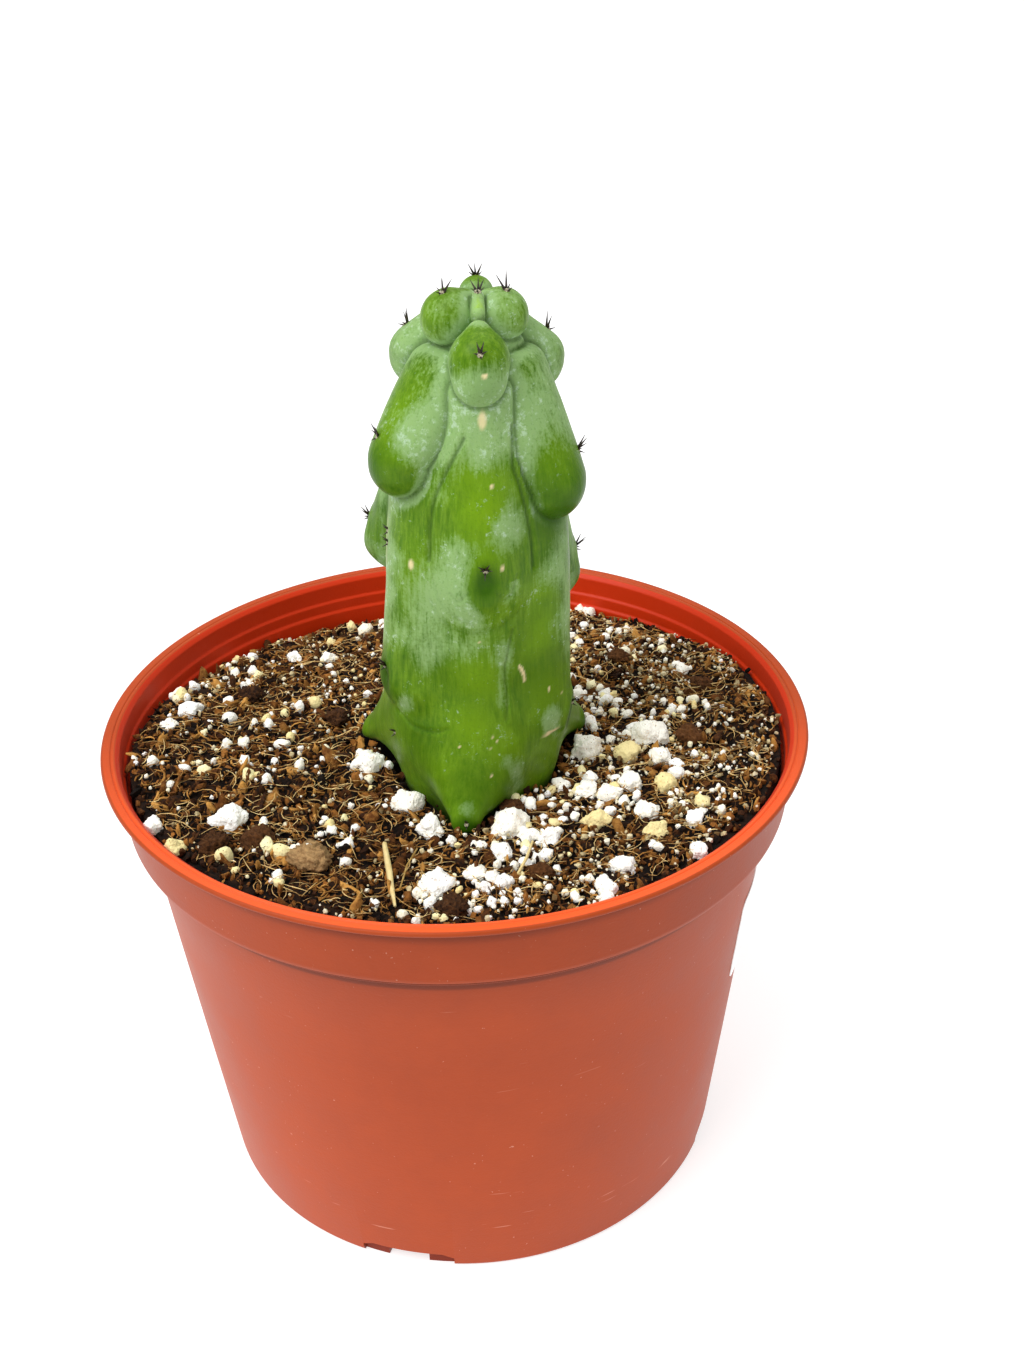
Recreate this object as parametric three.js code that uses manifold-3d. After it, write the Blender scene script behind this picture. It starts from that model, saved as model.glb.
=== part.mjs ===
// Potted boobie cactus: a short six-ribbed cactus with overlapping rounded lobes, in a round
// terracotta-coloured pot filled with bark and perlite mix. Millimetres, +Z up, the origin at
// the centre of the pot's foot. Azimuth 0 is the front (-Y) and +90 is the right (+X).

import * as THREE from 'three';
import { mergeVertices } from 'three/addons/utils/BufferGeometryUtils.js';
import Module from 'manifold-3d';

const wasm = await Module();
wasm.setup();
const { Manifold, Mesh } = wasm;

// Pot sizes
const POT_HEIGHT = 143;
const RIM_R = 101.5;            // outside of the flange
const RIM_THICK = 1.5;
const BAND_TOP_R = 97.4;
const BAND_LOW_R = 96.1;
const BAND_LOW_Z = 122.7;       // lower edge of the band below the rim
const WALL_TOP_R = 91.7;
const FOOT_R = 77.5;
const WALL_THICK = 1.4;
const FLOOR_LOW_Z = 5.0;
const FLOOR_TOP_Z = 6.8;
const FOOT_RING_IN_R = 73.2;
const SEGMENTS = 64;            // facets round the pot and the soil

// Drain recesses in the foot
const RECESS_COUNT = 4;
const RECESS_AZ = -16;
const RECESS_HALF = 10.3;       // degrees
const RECESS_HEIGHT = 4.6;
const RECESS_DEPTH = 2.2;
const SLOT_HALF = 4.6;          // degrees
const SLOT_HEIGHT = 3.8;
const DRAIN_IN_R = 66;

// Label sizes
const LABEL_AZ = [63.6, 100.4];
const LABEL_Z = [69.8, 99.3];
const LABEL_THICK = 0.6;
const LABEL_CORNER = 3;

const GAP = 0.3;                // between neighbouring pieces

// Stem: where it stands, how it leans, and its plain body
const STEM_X = 5.85;
const STEM_Y = -18;
const STEM_LEAN = 0.03;         // sideways per unit of height
const LEAN_FROM_Z = 137;
const FOOT_Z = 124;             // the buried end
const CROWN_Z = 258;            // above this the skin is measured along rising rays
const STEM_R = 24.7;
const STEM_FULL_Z = [160, 190]; // between these the body keeps its full radius
const STEM_TOP_Z = 274;
const RIBS = 6;
const RIB_RELIEF = 0.03;
const STEM_COLUMNS = 56;
const STEM_ROWS = 36;
const CROWN_ROWS = 10;

// Lobes, youngest first. Each runs down its rib from a narrow top to a rounded bulge:
// azimuth, top [radius, height, girth], bulge [radius, height, girth], spread (how far the top
// and the bulge wrap sideways round the stem), blend with what lies under it, and the azimuth
// and tilt in which its areole lies from the bulge's middle
const LOBES = [
  { az: 180, top: [3, 269, 3], bulge: [5.2, 271.4, 4.4], spread: [1, 1], blend: 0.6, areole: [180, 72] },
  { az: 0, top: [10.4, 271.4, 1.7], bulge: [6, 273.9, 1.6], spread: [1, 1], blend: 0.35, areole: [0, 80] },
  { az: -60, top: [4.4, 269.6, 5.4], bulge: [7.8, 268.6, 7.2], spread: [1, 1], blend: 0.5, areole: [-47, 70] },
  { az: 60, top: [4.4, 269.6, 5.2], bulge: [6.5, 268.4, 6.9], spread: [1, 1], blend: 0.5, areole: [47, 73] },
  { az: 0, top: [12, 268.6, 2], bulge: [14.8, 262.2, 6.8], spread: [1, 1], blend: 1, areole: null },
  { az: 0, top: [15.2, 261, 7.2], bulge: [16.5, 256.4, 6.8], spread: [1.05, 1], blend: 0.4, areole: [0, 70] },
  { az: -120, top: [11, 264, 4.5], bulge: [15.6, 255.8, 8.4], spread: [1.6, 1], blend: 0.5, areole: [-95, 62] },
  { az: 120, top: [11, 262.6, 4.5], bulge: [16.3, 253, 8.4], spread: [1.6, 1], blend: 0.5, areole: [90, 62] },
  { az: -60, top: [11.4, 256, 6.6], bulge: [21.2, 234.6, 9.4], spread: [2, 0.9], blend: 0.5, areole: [-80, 45] },
  { az: 60, top: [11.2, 255, 6.6], bulge: [20.3, 226.8, 9.6], spread: [2.1, 0.95], blend: 0.5, areole: [102, 46] },
  { az: 180, top: [11.6, 255, 6], bulge: [21.2, 231, 9.4], spread: [1.8, 0.95], blend: 0.5, areole: [180, 45] },
  { az: 0, top: [15.2, 253, 5.8], bulge: [14.6, 203, 12.5], spread: [1.55, 1.05], blend: 2.4, areole: [5, 33] },
  { az: -120, top: [15.5, 240, 5], bulge: [23.2, 203.8, 9.6], spread: [1.5, 1], blend: 1.2, areole: [-100, 30] },
  { az: 120, top: [15.5, 236, 5], bulge: [21, 192.3, 9.6], spread: [1.5, 1], blend: 1.2, areole: [100, 30] },
  { az: -60, top: [15, 212, 9], bulge: [17.9, 173, 10], spread: [1.2, 1.45], blend: 2.5, areole: [-72, 21] },
  { az: 60, top: [15, 204, 9], bulge: [16.9, 162, 10], spread: [1.2, 1.2], blend: 2.5, areole: [84, -2] },
  { az: 180, top: [15, 210, 9], bulge: [18.2, 170, 10], spread: [1.2, 1.3], blend: 3, areole: [180, 15] },
  { az: -10, top: [11, 160, 13.5], bulge: [33, 139.2, 3], spread: [1.5, 1], blend: 8, areole: [20, 30] },
  { az: -118, top: [12, 157, 13], bulge: [33.5, 141, 3], spread: [1.5, 1], blend: 7, areole: [-118, 40] },
  { az: 118, top: [12, 156, 12.5], bulge: [32.5, 140.6, 3], spread: [1.5, 1], blend: 7, areole: [118, 40] },
];

// Spines
const SPINES_PER_AREOLE = 3;
const SPINE_LENGTH = 3.4;
const SPINE_R = 0.42;
const SPINE_TIP_R = 0.16;
const SPINE_SPREAD = 34;        // degrees from the areole's own direction
const AREOLE_R = 1.0;

// Soil
const SOIL_LEVEL = 138.8;
const SOIL_SINK_BACK = 11;      // how much lower the surface lies at the back
const SOIL_CROSS_TILT = 0.028;
const SOIL_ROUGH = 1.1;
const SOIL_RINGS = 11;
const HOLE_TOP_Z = 143;
const SEED = 20417;

// Larger lumps of perlite: x, y, size across
const BIG_LUMPS = [
  [-62, -43, 10], [-80, 21, 6.8], [-85, 11, 5], [-51, 57, 6.2], [-40, 56, 5], [-25, -21, 8.6],
  [-14, -40, 8.6], [-8, -53, 8], [-82, -45, 5.5], [37, -18, 8.8], [48, -20, 7.4], [55, -11, 11],
  [57, -23, 6.2], [35, -38, 6.2], [41, -40, 6.8], [47, -36, 6.2], [13, -54, 9], [23, -59, 6.8],
  [32, -52, 6.2], [50, -49, 6.2], [57, -46, 6.8], [62, -55, 5.5], [55, -59, 6.2], [41, -72, 6.8],
  [36, -81, 6.8], [10, -64, 5.5], [10, -77, 5], [3, -73, 5.5], [-7, -76, 8], [61, -69, 5],
];
const BARK_CLODS = [[-39, -65, 14.5], [-57, -30, 7], [-66, -24, 6], [30, 66, 8], [52, 40, 7]];
const SMALL_LUMPS = 52;
const SMALL_LUMP_SIZE = [2.8, 4.6];

const rad = (deg) => deg * Math.PI / 180;

// Seeded random numbers between 0 and 1
function makeRandom(seed) {
  let state = seed >>> 0;
  return () => {
    state = (state + 0x6D2B79F5) >>> 0;
    let t = state;
    t = Math.imul(t ^ (t >>> 15), t | 1);
    t ^= t + Math.imul(t ^ (t >>> 7), t | 61);
    return ((t ^ (t >>> 14)) >>> 0) / 4294967296;
  };
}

// Indexed geometry to a solid
function toSolid(geometry) {
  const bare = new THREE.BufferGeometry();
  bare.setAttribute('position', geometry.getAttribute('position').clone());
  if (geometry.index) bare.setIndex(geometry.index.clone());
  const merged = mergeVertices(bare, 1e-4);
  const source = merged.index.array;
  const faces = [];
  for (let i = 0; i < source.length; i += 3) {
    const [a, b, c] = [source[i], source[i + 1], source[i + 2]];
    if (a !== b && b !== c && c !== a) faces.push(a, b, c);
  }
  return new Manifold(new Mesh({
    numProp: 3,
    vertProperties: Float32Array.from(merged.getAttribute('position').array),
    triVerts: Uint32Array.from(faces),
  }));
}

// The outer skin alone, so that a pocket sealed by fusing is filled
function filled(solid) {
  return solid.decompose().reduce((best, part) => (part.volume() > best.volume() ? part : best));
}

function toGeometry(solid) {
  const mesh = filled(solid).getMesh();
  const geometry = new THREE.BufferGeometry();
  geometry.setAttribute('position', new THREE.BufferAttribute(Float32Array.from(mesh.vertProperties), 3));
  geometry.setIndex(new THREE.BufferAttribute(Uint32Array.from(mesh.triVerts), 1));
  geometry.computeVertexNormals();
  return geometry;
}

function indexed(points, faces) {
  const geometry = new THREE.BufferGeometry();
  geometry.setAttribute('position', new THREE.Float32BufferAttribute(points.flat(), 3));
  geometry.setIndex(faces);
  return geometry;
}

// A closed skin from rings of points, low to high, capped by a middle point at each end
function skinOfRings(rings, lowPoint, highPoint) {
  const count = rings[0].length;
  const points = rings.flat();
  const faces = [];
  for (let k = 0; k + 1 < rings.length; k += 1) {
    for (let i = 0; i < count; i += 1) {
      const j = (i + 1) % count;
      const [a, b] = [k * count + i, k * count + j];
      const [c, d] = [a + count, b + count];
      faces.push(a, b, d, a, d, c);
    }
  }
  const low = points.push(lowPoint) - 1;
  const high = points.push(highPoint) - 1;
  const top = (rings.length - 1) * count;
  for (let i = 0; i < count; i += 1) {
    const j = (i + 1) % count;
    faces.push(low, j, i, top + i, top + j, high);
  }
  return indexed(points, faces);
}

// Pot
function potWallR(z) {
  return FOOT_R + (WALL_TOP_R - FOOT_R) * z / BAND_LOW_Z;
}

// Inside face of the pot, low to high, also followed by the soil
const POT_INSIDE = [
  [potWallR(FLOOR_TOP_Z) - WALL_THICK - 1.6, FLOOR_TOP_Z],
  [potWallR(FLOOR_TOP_Z) - WALL_THICK, FLOOR_TOP_Z + 1.8],
  [potWallR(119.5) - WALL_THICK, 119.5],
  [94.1, 122.6],
  [94.5, 132.0],
  [95.2, 132.8],
  [95.3, 135.8],
  [96.0, 136.5],
  [96.3, 141.6],
  [97.3, 142.7],
];

function buildPot() {
  const outside = [
    [0, FLOOR_LOW_Z],
    [FOOT_RING_IN_R, FLOOR_LOW_Z],
    [FOOT_RING_IN_R + 0.4, 0],
    [FOOT_R - 0.7, 0],
    [FOOT_R, 0.9],
    [potWallR(121.0), 121.0],
    [95.0, 121.3],
    [95.0, 122.5],
    [BAND_LOW_R, BAND_LOW_Z],
    [BAND_TOP_R, POT_HEIGHT - RIM_THICK - 0.8],
    [BAND_TOP_R + 0.8, POT_HEIGHT - RIM_THICK],
    [RIM_R - 0.3, POT_HEIGHT - RIM_THICK],
    [RIM_R, POT_HEIGHT - RIM_THICK + 0.4],
    [RIM_R, POT_HEIGHT - 0.4],
    [RIM_R - 0.4, POT_HEIGHT],
    [98.9, POT_HEIGHT],
    [98.6, POT_HEIGHT - 0.3],
    [98.3, POT_HEIGHT],
    [97.8, POT_HEIGHT],
  ];
  const profile = [...outside, ...[...POT_INSIDE].reverse(), [0, FLOOR_TOP_Z]];
  const lathe = new THREE.LatheGeometry(profile.map(([r, z]) => new THREE.Vector2(r, z)), SEGMENTS);
  lathe.rotateX(Math.PI / 2);
  let solid = toSolid(lathe);
  if (solid.volume() < 0) throw new Error('pot faces are inside out');
  for (let k = 0; k < RECESS_COUNT; k += 1) {
    const az = RECESS_AZ + k * 360 / RECESS_COUNT;
    solid = solid.subtract(ringWedge(az, RECESS_HALF, FOOT_R - RECESS_DEPTH, FOOT_R + 4, RECESS_HEIGHT));
    solid = solid.subtract(ringWedge(az, SLOT_HALF, FOOT_RING_IN_R - 2, FOOT_R, SLOT_HEIGHT));
    solid = solid.subtract(ringWedge(az, SLOT_HALF, DRAIN_IN_R, FOOT_RING_IN_R - 0.6, FLOOR_TOP_Z + 4));
  }
  return toGeometry(solid);
}

// A piece of a ring, used as a cutter from below the foot up to a height
function ringWedge(az, half, rIn, rOut, height) {
  const steps = 4;
  const shape = new THREE.Shape();
  for (let i = 0; i <= steps; i += 1) {
    const a = rad(az - half + 2 * half * i / steps);
    const [x, y] = [rOut * Math.sin(a), -rOut * Math.cos(a)];
    if (i === 0) shape.moveTo(x, y);
    else shape.lineTo(x, y);
  }
  for (let i = steps; i >= 0; i -= 1) {
    const a = rad(az - half + 2 * half * i / steps);
    shape.lineTo(rIn * Math.sin(a), -rIn * Math.cos(a));
  }
  const cutter = new THREE.ExtrudeGeometry(shape, { depth: height + 2, bevelEnabled: false });
  cutter.translate(0, 0, -2);
  return toSolid(cutter);
}

// Cactus

// Distance to a tapering capsule from point a (radius ra) to point b (radius rb)
function taperedCapsule(p, a, b, ra, rb) {
  const ba = b.clone().sub(a);
  const l2 = ba.lengthSq();
  const rr = ra - rb;
  const a2 = l2 - rr * rr;
  const pa = p.clone().sub(a);
  const y = pa.dot(ba);
  const z = y - l2;
  const x2 = pa.clone().multiplyScalar(l2).sub(ba.clone().multiplyScalar(y)).lengthSq();
  const y2 = y * y * l2;
  const z2 = z * z * l2;
  const k = Math.sign(rr) * rr * rr * x2;
  if (Math.sign(z) * a2 * z2 > k) return Math.sqrt(x2 + z2) / l2 - rb;
  if (Math.sign(y) * a2 * y2 < k) return Math.sqrt(x2 + y2) / l2 - ra;
  return (Math.sqrt(x2 * a2 / l2) + y * rr) / l2 - ra;
}

function blendMin(a, b, k) {
  const h = Math.min(1, Math.max(0, 0.5 + 0.5 * (b - a) / k));
  return b * (1 - h) + a * h - k * h * (1 - h);
}

function ribPoint(az, [r, z]) {
  return new THREE.Vector3(r * Math.sin(rad(az)), -r * Math.cos(rad(az)), z);
}

// Radius of the plain stem body at a height
function bodyR(z) {
  if (z > STEM_FULL_Z[1]) {
    const t = Math.min(1, (z - STEM_FULL_Z[1]) / (STEM_TOP_Z - STEM_FULL_Z[1]));
    return STEM_R * (1 - t ** 2.7) ** 0.68;
  }
  if (z < STEM_FULL_Z[0]) return STEM_R - 8.7 * ((STEM_FULL_Z[0] - z) / 38) ** 2.2;
  return STEM_R;
}

// Oldest first, with both ends in the rib's own plane: outwards, sideways, up
const PLACED_LOBES = LOBES.map((lobe) => ({
  ...lobe,
  a: new THREE.Vector3(lobe.top[0], 0, lobe.top[1]),
  b: new THREE.Vector3(lobe.bulge[0], 0, lobe.bulge[1]),
})).reverse();

// A point in the plane of a lobe's rib, drawn together sideways by the lobe's spread
function inLobePlane(p, { az, a, b, spread }) {
  const turn = Math.atan2(p.x, -p.y) - rad(az);
  const nearest = Math.atan2(Math.sin(turn), Math.cos(turn));
  const t = Math.min(1, Math.max(0, (p.z - b.z) / (a.z - b.z)));
  const narrowed = nearest / (spread[1] + (spread[0] - spread[1]) * t);
  const r = Math.hypot(p.x, p.y);
  return new THREE.Vector3(r * Math.cos(narrowed), r * Math.sin(narrowed), p.z);
}

// Signed distance to the cactus skin, about the stem's own axis
function stemField(p) {
  const az = Math.atan2(p.x, -p.y);
  const r = bodyR(p.z) * (1 + RIB_RELIEF * Math.cos(RIBS * az));
  let d = Math.max((Math.hypot(p.x, p.y) - r) * 0.9, p.z - STEM_TOP_Z);
  for (const lobe of PLACED_LOBES) {
    const { a, b, top, bulge, blend } = lobe;
    d = blendMin(taperedCapsule(inLobePlane(p, lobe), a, b, top[2], bulge[2]), d, blend);
  }
  return d;
}

// Walk in along a ray from outside until the skin is met
function skinPoint(origin, direction) {
  let t = 52;
  const p = new THREE.Vector3();
  for (let i = 0; i < 70; i += 1) {
    p.copy(origin).addScaledVector(direction, t);
    const d = stemField(p);
    if (Math.abs(d) < 0.004) break;
    t -= Math.min(6, Math.max(-2, d * 0.75));
  }
  return p.clone();
}

function rayPoint(az, z, rise) {
  const direction = new THREE.Vector3(
    Math.sin(az) * Math.cos(rise), -Math.cos(az) * Math.cos(rise), Math.sin(rise));
  return skinPoint(new THREE.Vector3(0, 0, z), direction);
}

function leaned(p) {
  return [p.x + STEM_X + STEM_LEAN * (p.z - LEAN_FROM_Z), p.y + STEM_Y, p.z];
}

function skinNormal(p) {
  const e = 0.2;
  const d = (x, y, z) => stemField(new THREE.Vector3(p.x + x, p.y + y, p.z + z));
  return new THREE.Vector3(
    d(e, 0, 0) - d(-e, 0, 0), d(0, e, 0) - d(0, -e, 0), d(0, 0, e) - d(0, 0, -e)).normalize();
}

// A slim cone from its root to its tip
function spine(root, direction, length) {
  const cone = new THREE.CylinderGeometry(SPINE_TIP_R, SPINE_R, length + 1, 3);
  cone.translate(0, (length - 1) / 2, 0);
  const turn = new THREE.Quaternion().setFromUnitVectors(new THREE.Vector3(0, 1, 0), direction);
  cone.applyQuaternion(turn);
  cone.translate(...root);
  return toSolid(cone);
}

function areole(lobe, random) {
  const [az, tilt] = lobe.areole;
  const out = ribPoint(az, [Math.cos(rad(tilt)), Math.sin(rad(tilt))]);
  const start = ribPoint(lobe.az, lobe.bulge).addScaledVector(out, lobe.bulge[2] * 1.15);
  for (let i = 0; i < 8; i += 1) start.addScaledVector(skinNormal(start), -stemField(start));
  const normal = skinNormal(start);
  const pad = new THREE.OctahedronGeometry(AREOLE_R, 0);
  pad.translate(...leaned(start));
  let solid = toSolid(pad);
  const side = new THREE.Vector3(0, 0, 1).cross(normal).normalize();
  const upward = normal.clone().cross(side).normalize();
  for (let k = 0; k < SPINES_PER_AREOLE; k += 1) {
    const around = 2 * Math.PI * (k + 0.25 + 0.3 * random()) / SPINES_PER_AREOLE;
    const spread = Math.tan(rad(SPINE_SPREAD * (0.7 + 0.6 * random())));
    const direction = normal.clone()
      .addScaledVector(side, Math.cos(around) * spread)
      .addScaledVector(upward, Math.sin(around) * spread)
      .normalize();
    solid = solid.add(spine(leaned(start), direction, SPINE_LENGTH * (0.75 + 0.5 * random())));
  }
  return solid;
}

function stemRings() {
  const rings = [];
  const ringAt = (z, rise) => {
    const ring = [];
    for (let i = 0; i < STEM_COLUMNS; i += 1) {
      ring.push(rayPoint(2 * Math.PI * i / STEM_COLUMNS, z, rise));
    }
    return ring;
  };
  for (let k = 0; k <= STEM_ROWS; k += 1) rings.push(ringAt(FOOT_Z + (CROWN_Z - FOOT_Z) * k / STEM_ROWS, 0));
  for (let k = 1; k < CROWN_ROWS; k += 1) rings.push(ringAt(CROWN_Z, Math.PI / 2 * k / CROWN_ROWS));
  return rings;
}

const STEM_RINGS = stemRings();

function buildCactus() {
  const random = makeRandom(SEED + 1);
  const top = rayPoint(0, CROWN_Z, Math.PI / 2);
  const skin = skinOfRings(
    STEM_RINGS.map((ring) => ring.map(leaned)),
    leaned(new THREE.Vector3(0, 0, FOOT_Z)),
    leaned(top));
  let solid = toSolid(skin);
  for (const lobe of PLACED_LOBES.filter(({ areole: place }) => place)) {
    solid = solid.add(areole(lobe, random));
  }
  return toGeometry(solid);
}

// Soil

// Outline of the plain hole that the stem stands in, about the stem's foot
function holeR(az) {
  let r = 0;
  for (const ring of STEM_RINGS) {
    if (ring[0].z > HOLE_TOP_Z) break;
    for (const p of ring) {
      const away = Math.abs(Math.atan2(Math.sin(Math.atan2(p.x, -p.y) - az), Math.cos(Math.atan2(p.x, -p.y) - az)));
      if (away < rad(7)) r = Math.max(r, Math.hypot(p.x, p.y));
    }
  }
  return r + GAP + STEM_LEAN * 6;
}

// Smooth random relief from a lattice of seeded heights
function makeRelief(cell, seed) {
  const random = makeRandom(seed);
  const size = Math.ceil(2 * RIM_R / cell) + 2;
  const lattice = Array.from({ length: size * size }, () => random() * 2 - 1);
  const ease = (t) => t * t * (3 - 2 * t);
  return (x, y) => {
    const [u, v] = [(x + RIM_R) / cell, (y + RIM_R) / cell];
    const [i, j] = [Math.floor(u), Math.floor(v)];
    const [s, t] = [ease(u - i), ease(v - j)];
    const at = (a, b) => lattice[b * size + a];
    const low = at(i, j) * (1 - s) + at(i + 1, j) * s;
    const high = at(i, j + 1) * (1 - s) + at(i + 1, j + 1) * s;
    return low * (1 - t) + high * t;
  };
}

const coarseRelief = makeRelief(17, SEED + 2);
const fineRelief = makeRelief(6, SEED + 3);

function soilZ(x, y) {
  const back = Math.min(1, Math.max(0, (y + 25) / 115));
  const level = SOIL_LEVEL + SOIL_CROSS_TILT * x * back - SOIL_SINK_BACK * back ** 1.5;
  return level + SOIL_ROUGH * (coarseRelief(x, y) * 0.8 + fineRelief(x, y));
}

// An uneven lump, seated in the surface
function lump(x, y, size, sink, random) {
  const shape = mergeVertices(bareIcosahedron(size / 2), 1e-3);
  const position = shape.getAttribute('position');
  for (let i = 0; i < position.count; i += 1) {
    const stretch = 0.82 + 0.36 * random();
    position.setXYZ(i, position.getX(i) * stretch, position.getY(i) * stretch, position.getZ(i) * stretch);
  }
  shape.scale(1, 0.78 + 0.2 * random(), 0.72);
  shape.rotateZ(2 * Math.PI * random());
  shape.translate(x, y, soilZ(x, y) + size * sink);
  return toSolid(shape);
}

function bareIcosahedron(radius) {
  const shape = new THREE.IcosahedronGeometry(radius, 0);
  shape.deleteAttribute('normal');
  shape.deleteAttribute('uv');
  return shape;
}

function roomAt(x, y) {
  const [dx, dy] = [x - STEM_X, y - STEM_Y];
  const stemRoom = Math.hypot(dx, dy) - holeR(Math.atan2(dx, -dy));
  const wallRoom = 93.6 - Math.hypot(x, y);
  return Math.min(stemRoom, wallRoom);
}

function buildSoil() {
  const outer = POT_INSIDE.map(([r, z]) => [r - GAP, z + GAP]);
  const outerR = (z) => {
    for (let k = 1; k < outer.length; k += 1) {
      if (z <= outer[k][1]) {
        const t = (z - outer[k - 1][1]) / (outer[k][1] - outer[k - 1][1]);
        return outer[k - 1][0] + t * (outer[k][0] - outer[k - 1][0]);
      }
    }
    return outer[outer.length - 1][0];
  };
  const around = Array.from({ length: SEGMENTS }, (_, i) => 2 * Math.PI * i / SEGMENTS);
  const pole = (r, a, z, cx = 0, cy = 0) => [cx + r * Math.sin(a), cy - r * Math.cos(a), z];
  const holeEdge = around.map((a) => pole(holeR(a), a, 0, STEM_X, STEM_Y));
  const rimEdge = around.map((a) => {
    let r = 93.5;
    for (let i = 0; i < 4; i += 1) r = Math.min(outerR(soilZ(r * Math.sin(a), -r * Math.cos(a))), 93.9);
    return pole(r, a, 0);
  });
  const rings = [];
  const holeFloorZ = FOOT_Z - GAP;
  rings.push(holeEdge.map(([x, y]) => [x, y, holeFloorZ]));
  for (let k = 0; k <= SOIL_RINGS; k += 1) {
    const t = k / SOIL_RINGS;
    rings.push(around.map((_, i) => {
      const x = holeEdge[i][0] * (1 - t) + rimEdge[i][0] * t;
      const y = holeEdge[i][1] * (1 - t) + rimEdge[i][1] * t;
      return [x, y, soilZ(x, y)];
    }));
  }
  rings.push(around.map((a) => pole(outer[3][0] - 0.1, a, outer[3][1])));
  rings.push(around.map((a) => pole(outer[2][0], a, outer[2][1])));
  rings.push(around.map((a) => pole(outer[1][0], a, outer[1][1])));
  rings.push(around.map((a) => pole(outer[0][0], a, outer[0][1])));
  const skin = skinOfRings(rings.reverse(), [0, 0, outer[0][1]], [STEM_X, STEM_Y, holeFloorZ]);
  let solid = toSolid(skin);
  const random = makeRandom(SEED + 4);
  const seated = [];
  const seat = (x, y, size, sink) => {
    const apart = seated.every(([a, b, other]) => Math.hypot(a - x, b - y) > (size + other) * 0.56);
    if (!apart || roomAt(x, y) < size * 0.64) return 0;
    solid = solid.add(lump(x, y, size, sink, random));
    seated.push([x, y, size]);
    return 1;
  };
  for (const [x, y, size] of BIG_LUMPS) seat(x, y, size, 0.1);
  for (const [x, y, size] of BARK_CLODS) seat(x, y, size, -0.05);
  let placed = 0;
  while (placed < SMALL_LUMPS) {
    const r = 90 * Math.sqrt(random());
    const a = 2 * Math.PI * random();
    const [x, y] = [r * Math.sin(a), -r * Math.cos(a)];
    const size = SMALL_LUMP_SIZE[0] + (SMALL_LUMP_SIZE[1] - SMALL_LUMP_SIZE[0]) * random();
    const dense = x > 0 && y < 30 ? 1 : 0.45;
    if (random() < dense) placed += seat(x, y, size, 0.08);
  }
  return toGeometry(solid);
}

// Label, bent round the wall with rounded corners
function buildLabel() {
  const columns = 16;
  const [azLow, azHigh] = LABEL_AZ;
  const half = (LABEL_Z[1] - LABEL_Z[0]) / 2;
  const middle = (LABEL_Z[1] + LABEL_Z[0]) / 2;
  const width = rad(azHigh - azLow) * potWallR(middle);
  const rings = [];
  for (let k = 0; k <= columns; k += 1) {
    const u = 0.5 - 0.5 * Math.cos(Math.PI * k / columns);
    const edge = Math.min(u, 1 - u) * width;
    const inCorner = Math.max(0, LABEL_CORNER - edge);
    const drop = LABEL_CORNER - Math.sqrt(Math.max(0, LABEL_CORNER ** 2 - inCorner ** 2));
    const a = rad(azLow + (azHigh - azLow) * u);
    const at = (z, out) => {
      const r = potWallR(z) + GAP + out;
      return [r * Math.sin(a), -r * Math.cos(a), z];
    };
    const [low, high] = [middle - half + drop, middle + half - drop];
    rings.push([at(high, 0), at(high, LABEL_THICK), at(low, LABEL_THICK), at(low, 0)]);
  }
  const middleOf = (ring) => [0, 1, 2].map((i) => ring.reduce((sum, p) => sum + p[i], 0) / ring.length);
  const skin = skinOfRings(rings, middleOf(rings[0]), middleOf(rings[columns]));
  const solid = toSolid(skin);
  return toGeometry(solid);
}

function piece(name, geometry, color, roughness) {
  const material = new THREE.MeshStandardMaterial({ color, roughness, metalness: 0 });
  const mesh = new THREE.Mesh(geometry, material);
  mesh.name = name;
  return mesh;
}

const cactusInPot = new THREE.Group();
cactusInPot.name = 'potted_boobie_cactus';
cactusInPot.add(piece('pot', buildPot(), 0xb4492f, 0.55));
cactusInPot.add(piece('soil', buildSoil(), 0x5a3d29, 0.95));
cactusInPot.add(piece('cactus', buildCactus(), 0x5f9440, 0.5));
cactusInPot.add(piece('label', buildLabel(), 0xf2f2f0, 0.6));

export default cactusInPot;
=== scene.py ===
# Potted boobie cactus: a short six-ribbed cactus with rounded lobes, in a terracotta-coloured
# nursery pot of bark, coir and perlite mix. +Z up, the front is -Y, sizes below in millimetres.

import math

import bmesh
import bpy
import numpy as np
from bpy.props import FloatProperty, FloatVectorProperty, PointerProperty, StringProperty
from mathutils import Euler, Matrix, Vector, noise


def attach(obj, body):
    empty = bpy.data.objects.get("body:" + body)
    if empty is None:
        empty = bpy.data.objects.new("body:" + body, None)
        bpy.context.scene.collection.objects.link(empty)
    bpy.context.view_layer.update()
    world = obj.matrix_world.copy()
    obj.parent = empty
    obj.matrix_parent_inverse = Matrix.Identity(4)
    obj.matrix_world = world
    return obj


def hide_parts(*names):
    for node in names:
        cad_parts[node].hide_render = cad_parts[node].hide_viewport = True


bl_info = {
    "name": "Potted boobie cactus",
    "version": (1, 0, 0),
    "blender": (4, 5, 0),
    "location": "3D View > Sidebar > Cactus",
    "description": "Builds a potted boobie cactus around its packed solids",
    "category": "Add Mesh",
}

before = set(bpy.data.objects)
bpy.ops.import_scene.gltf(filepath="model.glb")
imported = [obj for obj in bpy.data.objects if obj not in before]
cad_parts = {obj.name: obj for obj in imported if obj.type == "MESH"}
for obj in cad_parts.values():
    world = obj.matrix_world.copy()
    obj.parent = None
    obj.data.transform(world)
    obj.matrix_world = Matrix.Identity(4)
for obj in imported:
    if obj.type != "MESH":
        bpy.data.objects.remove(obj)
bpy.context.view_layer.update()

MM = 0.001

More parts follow.
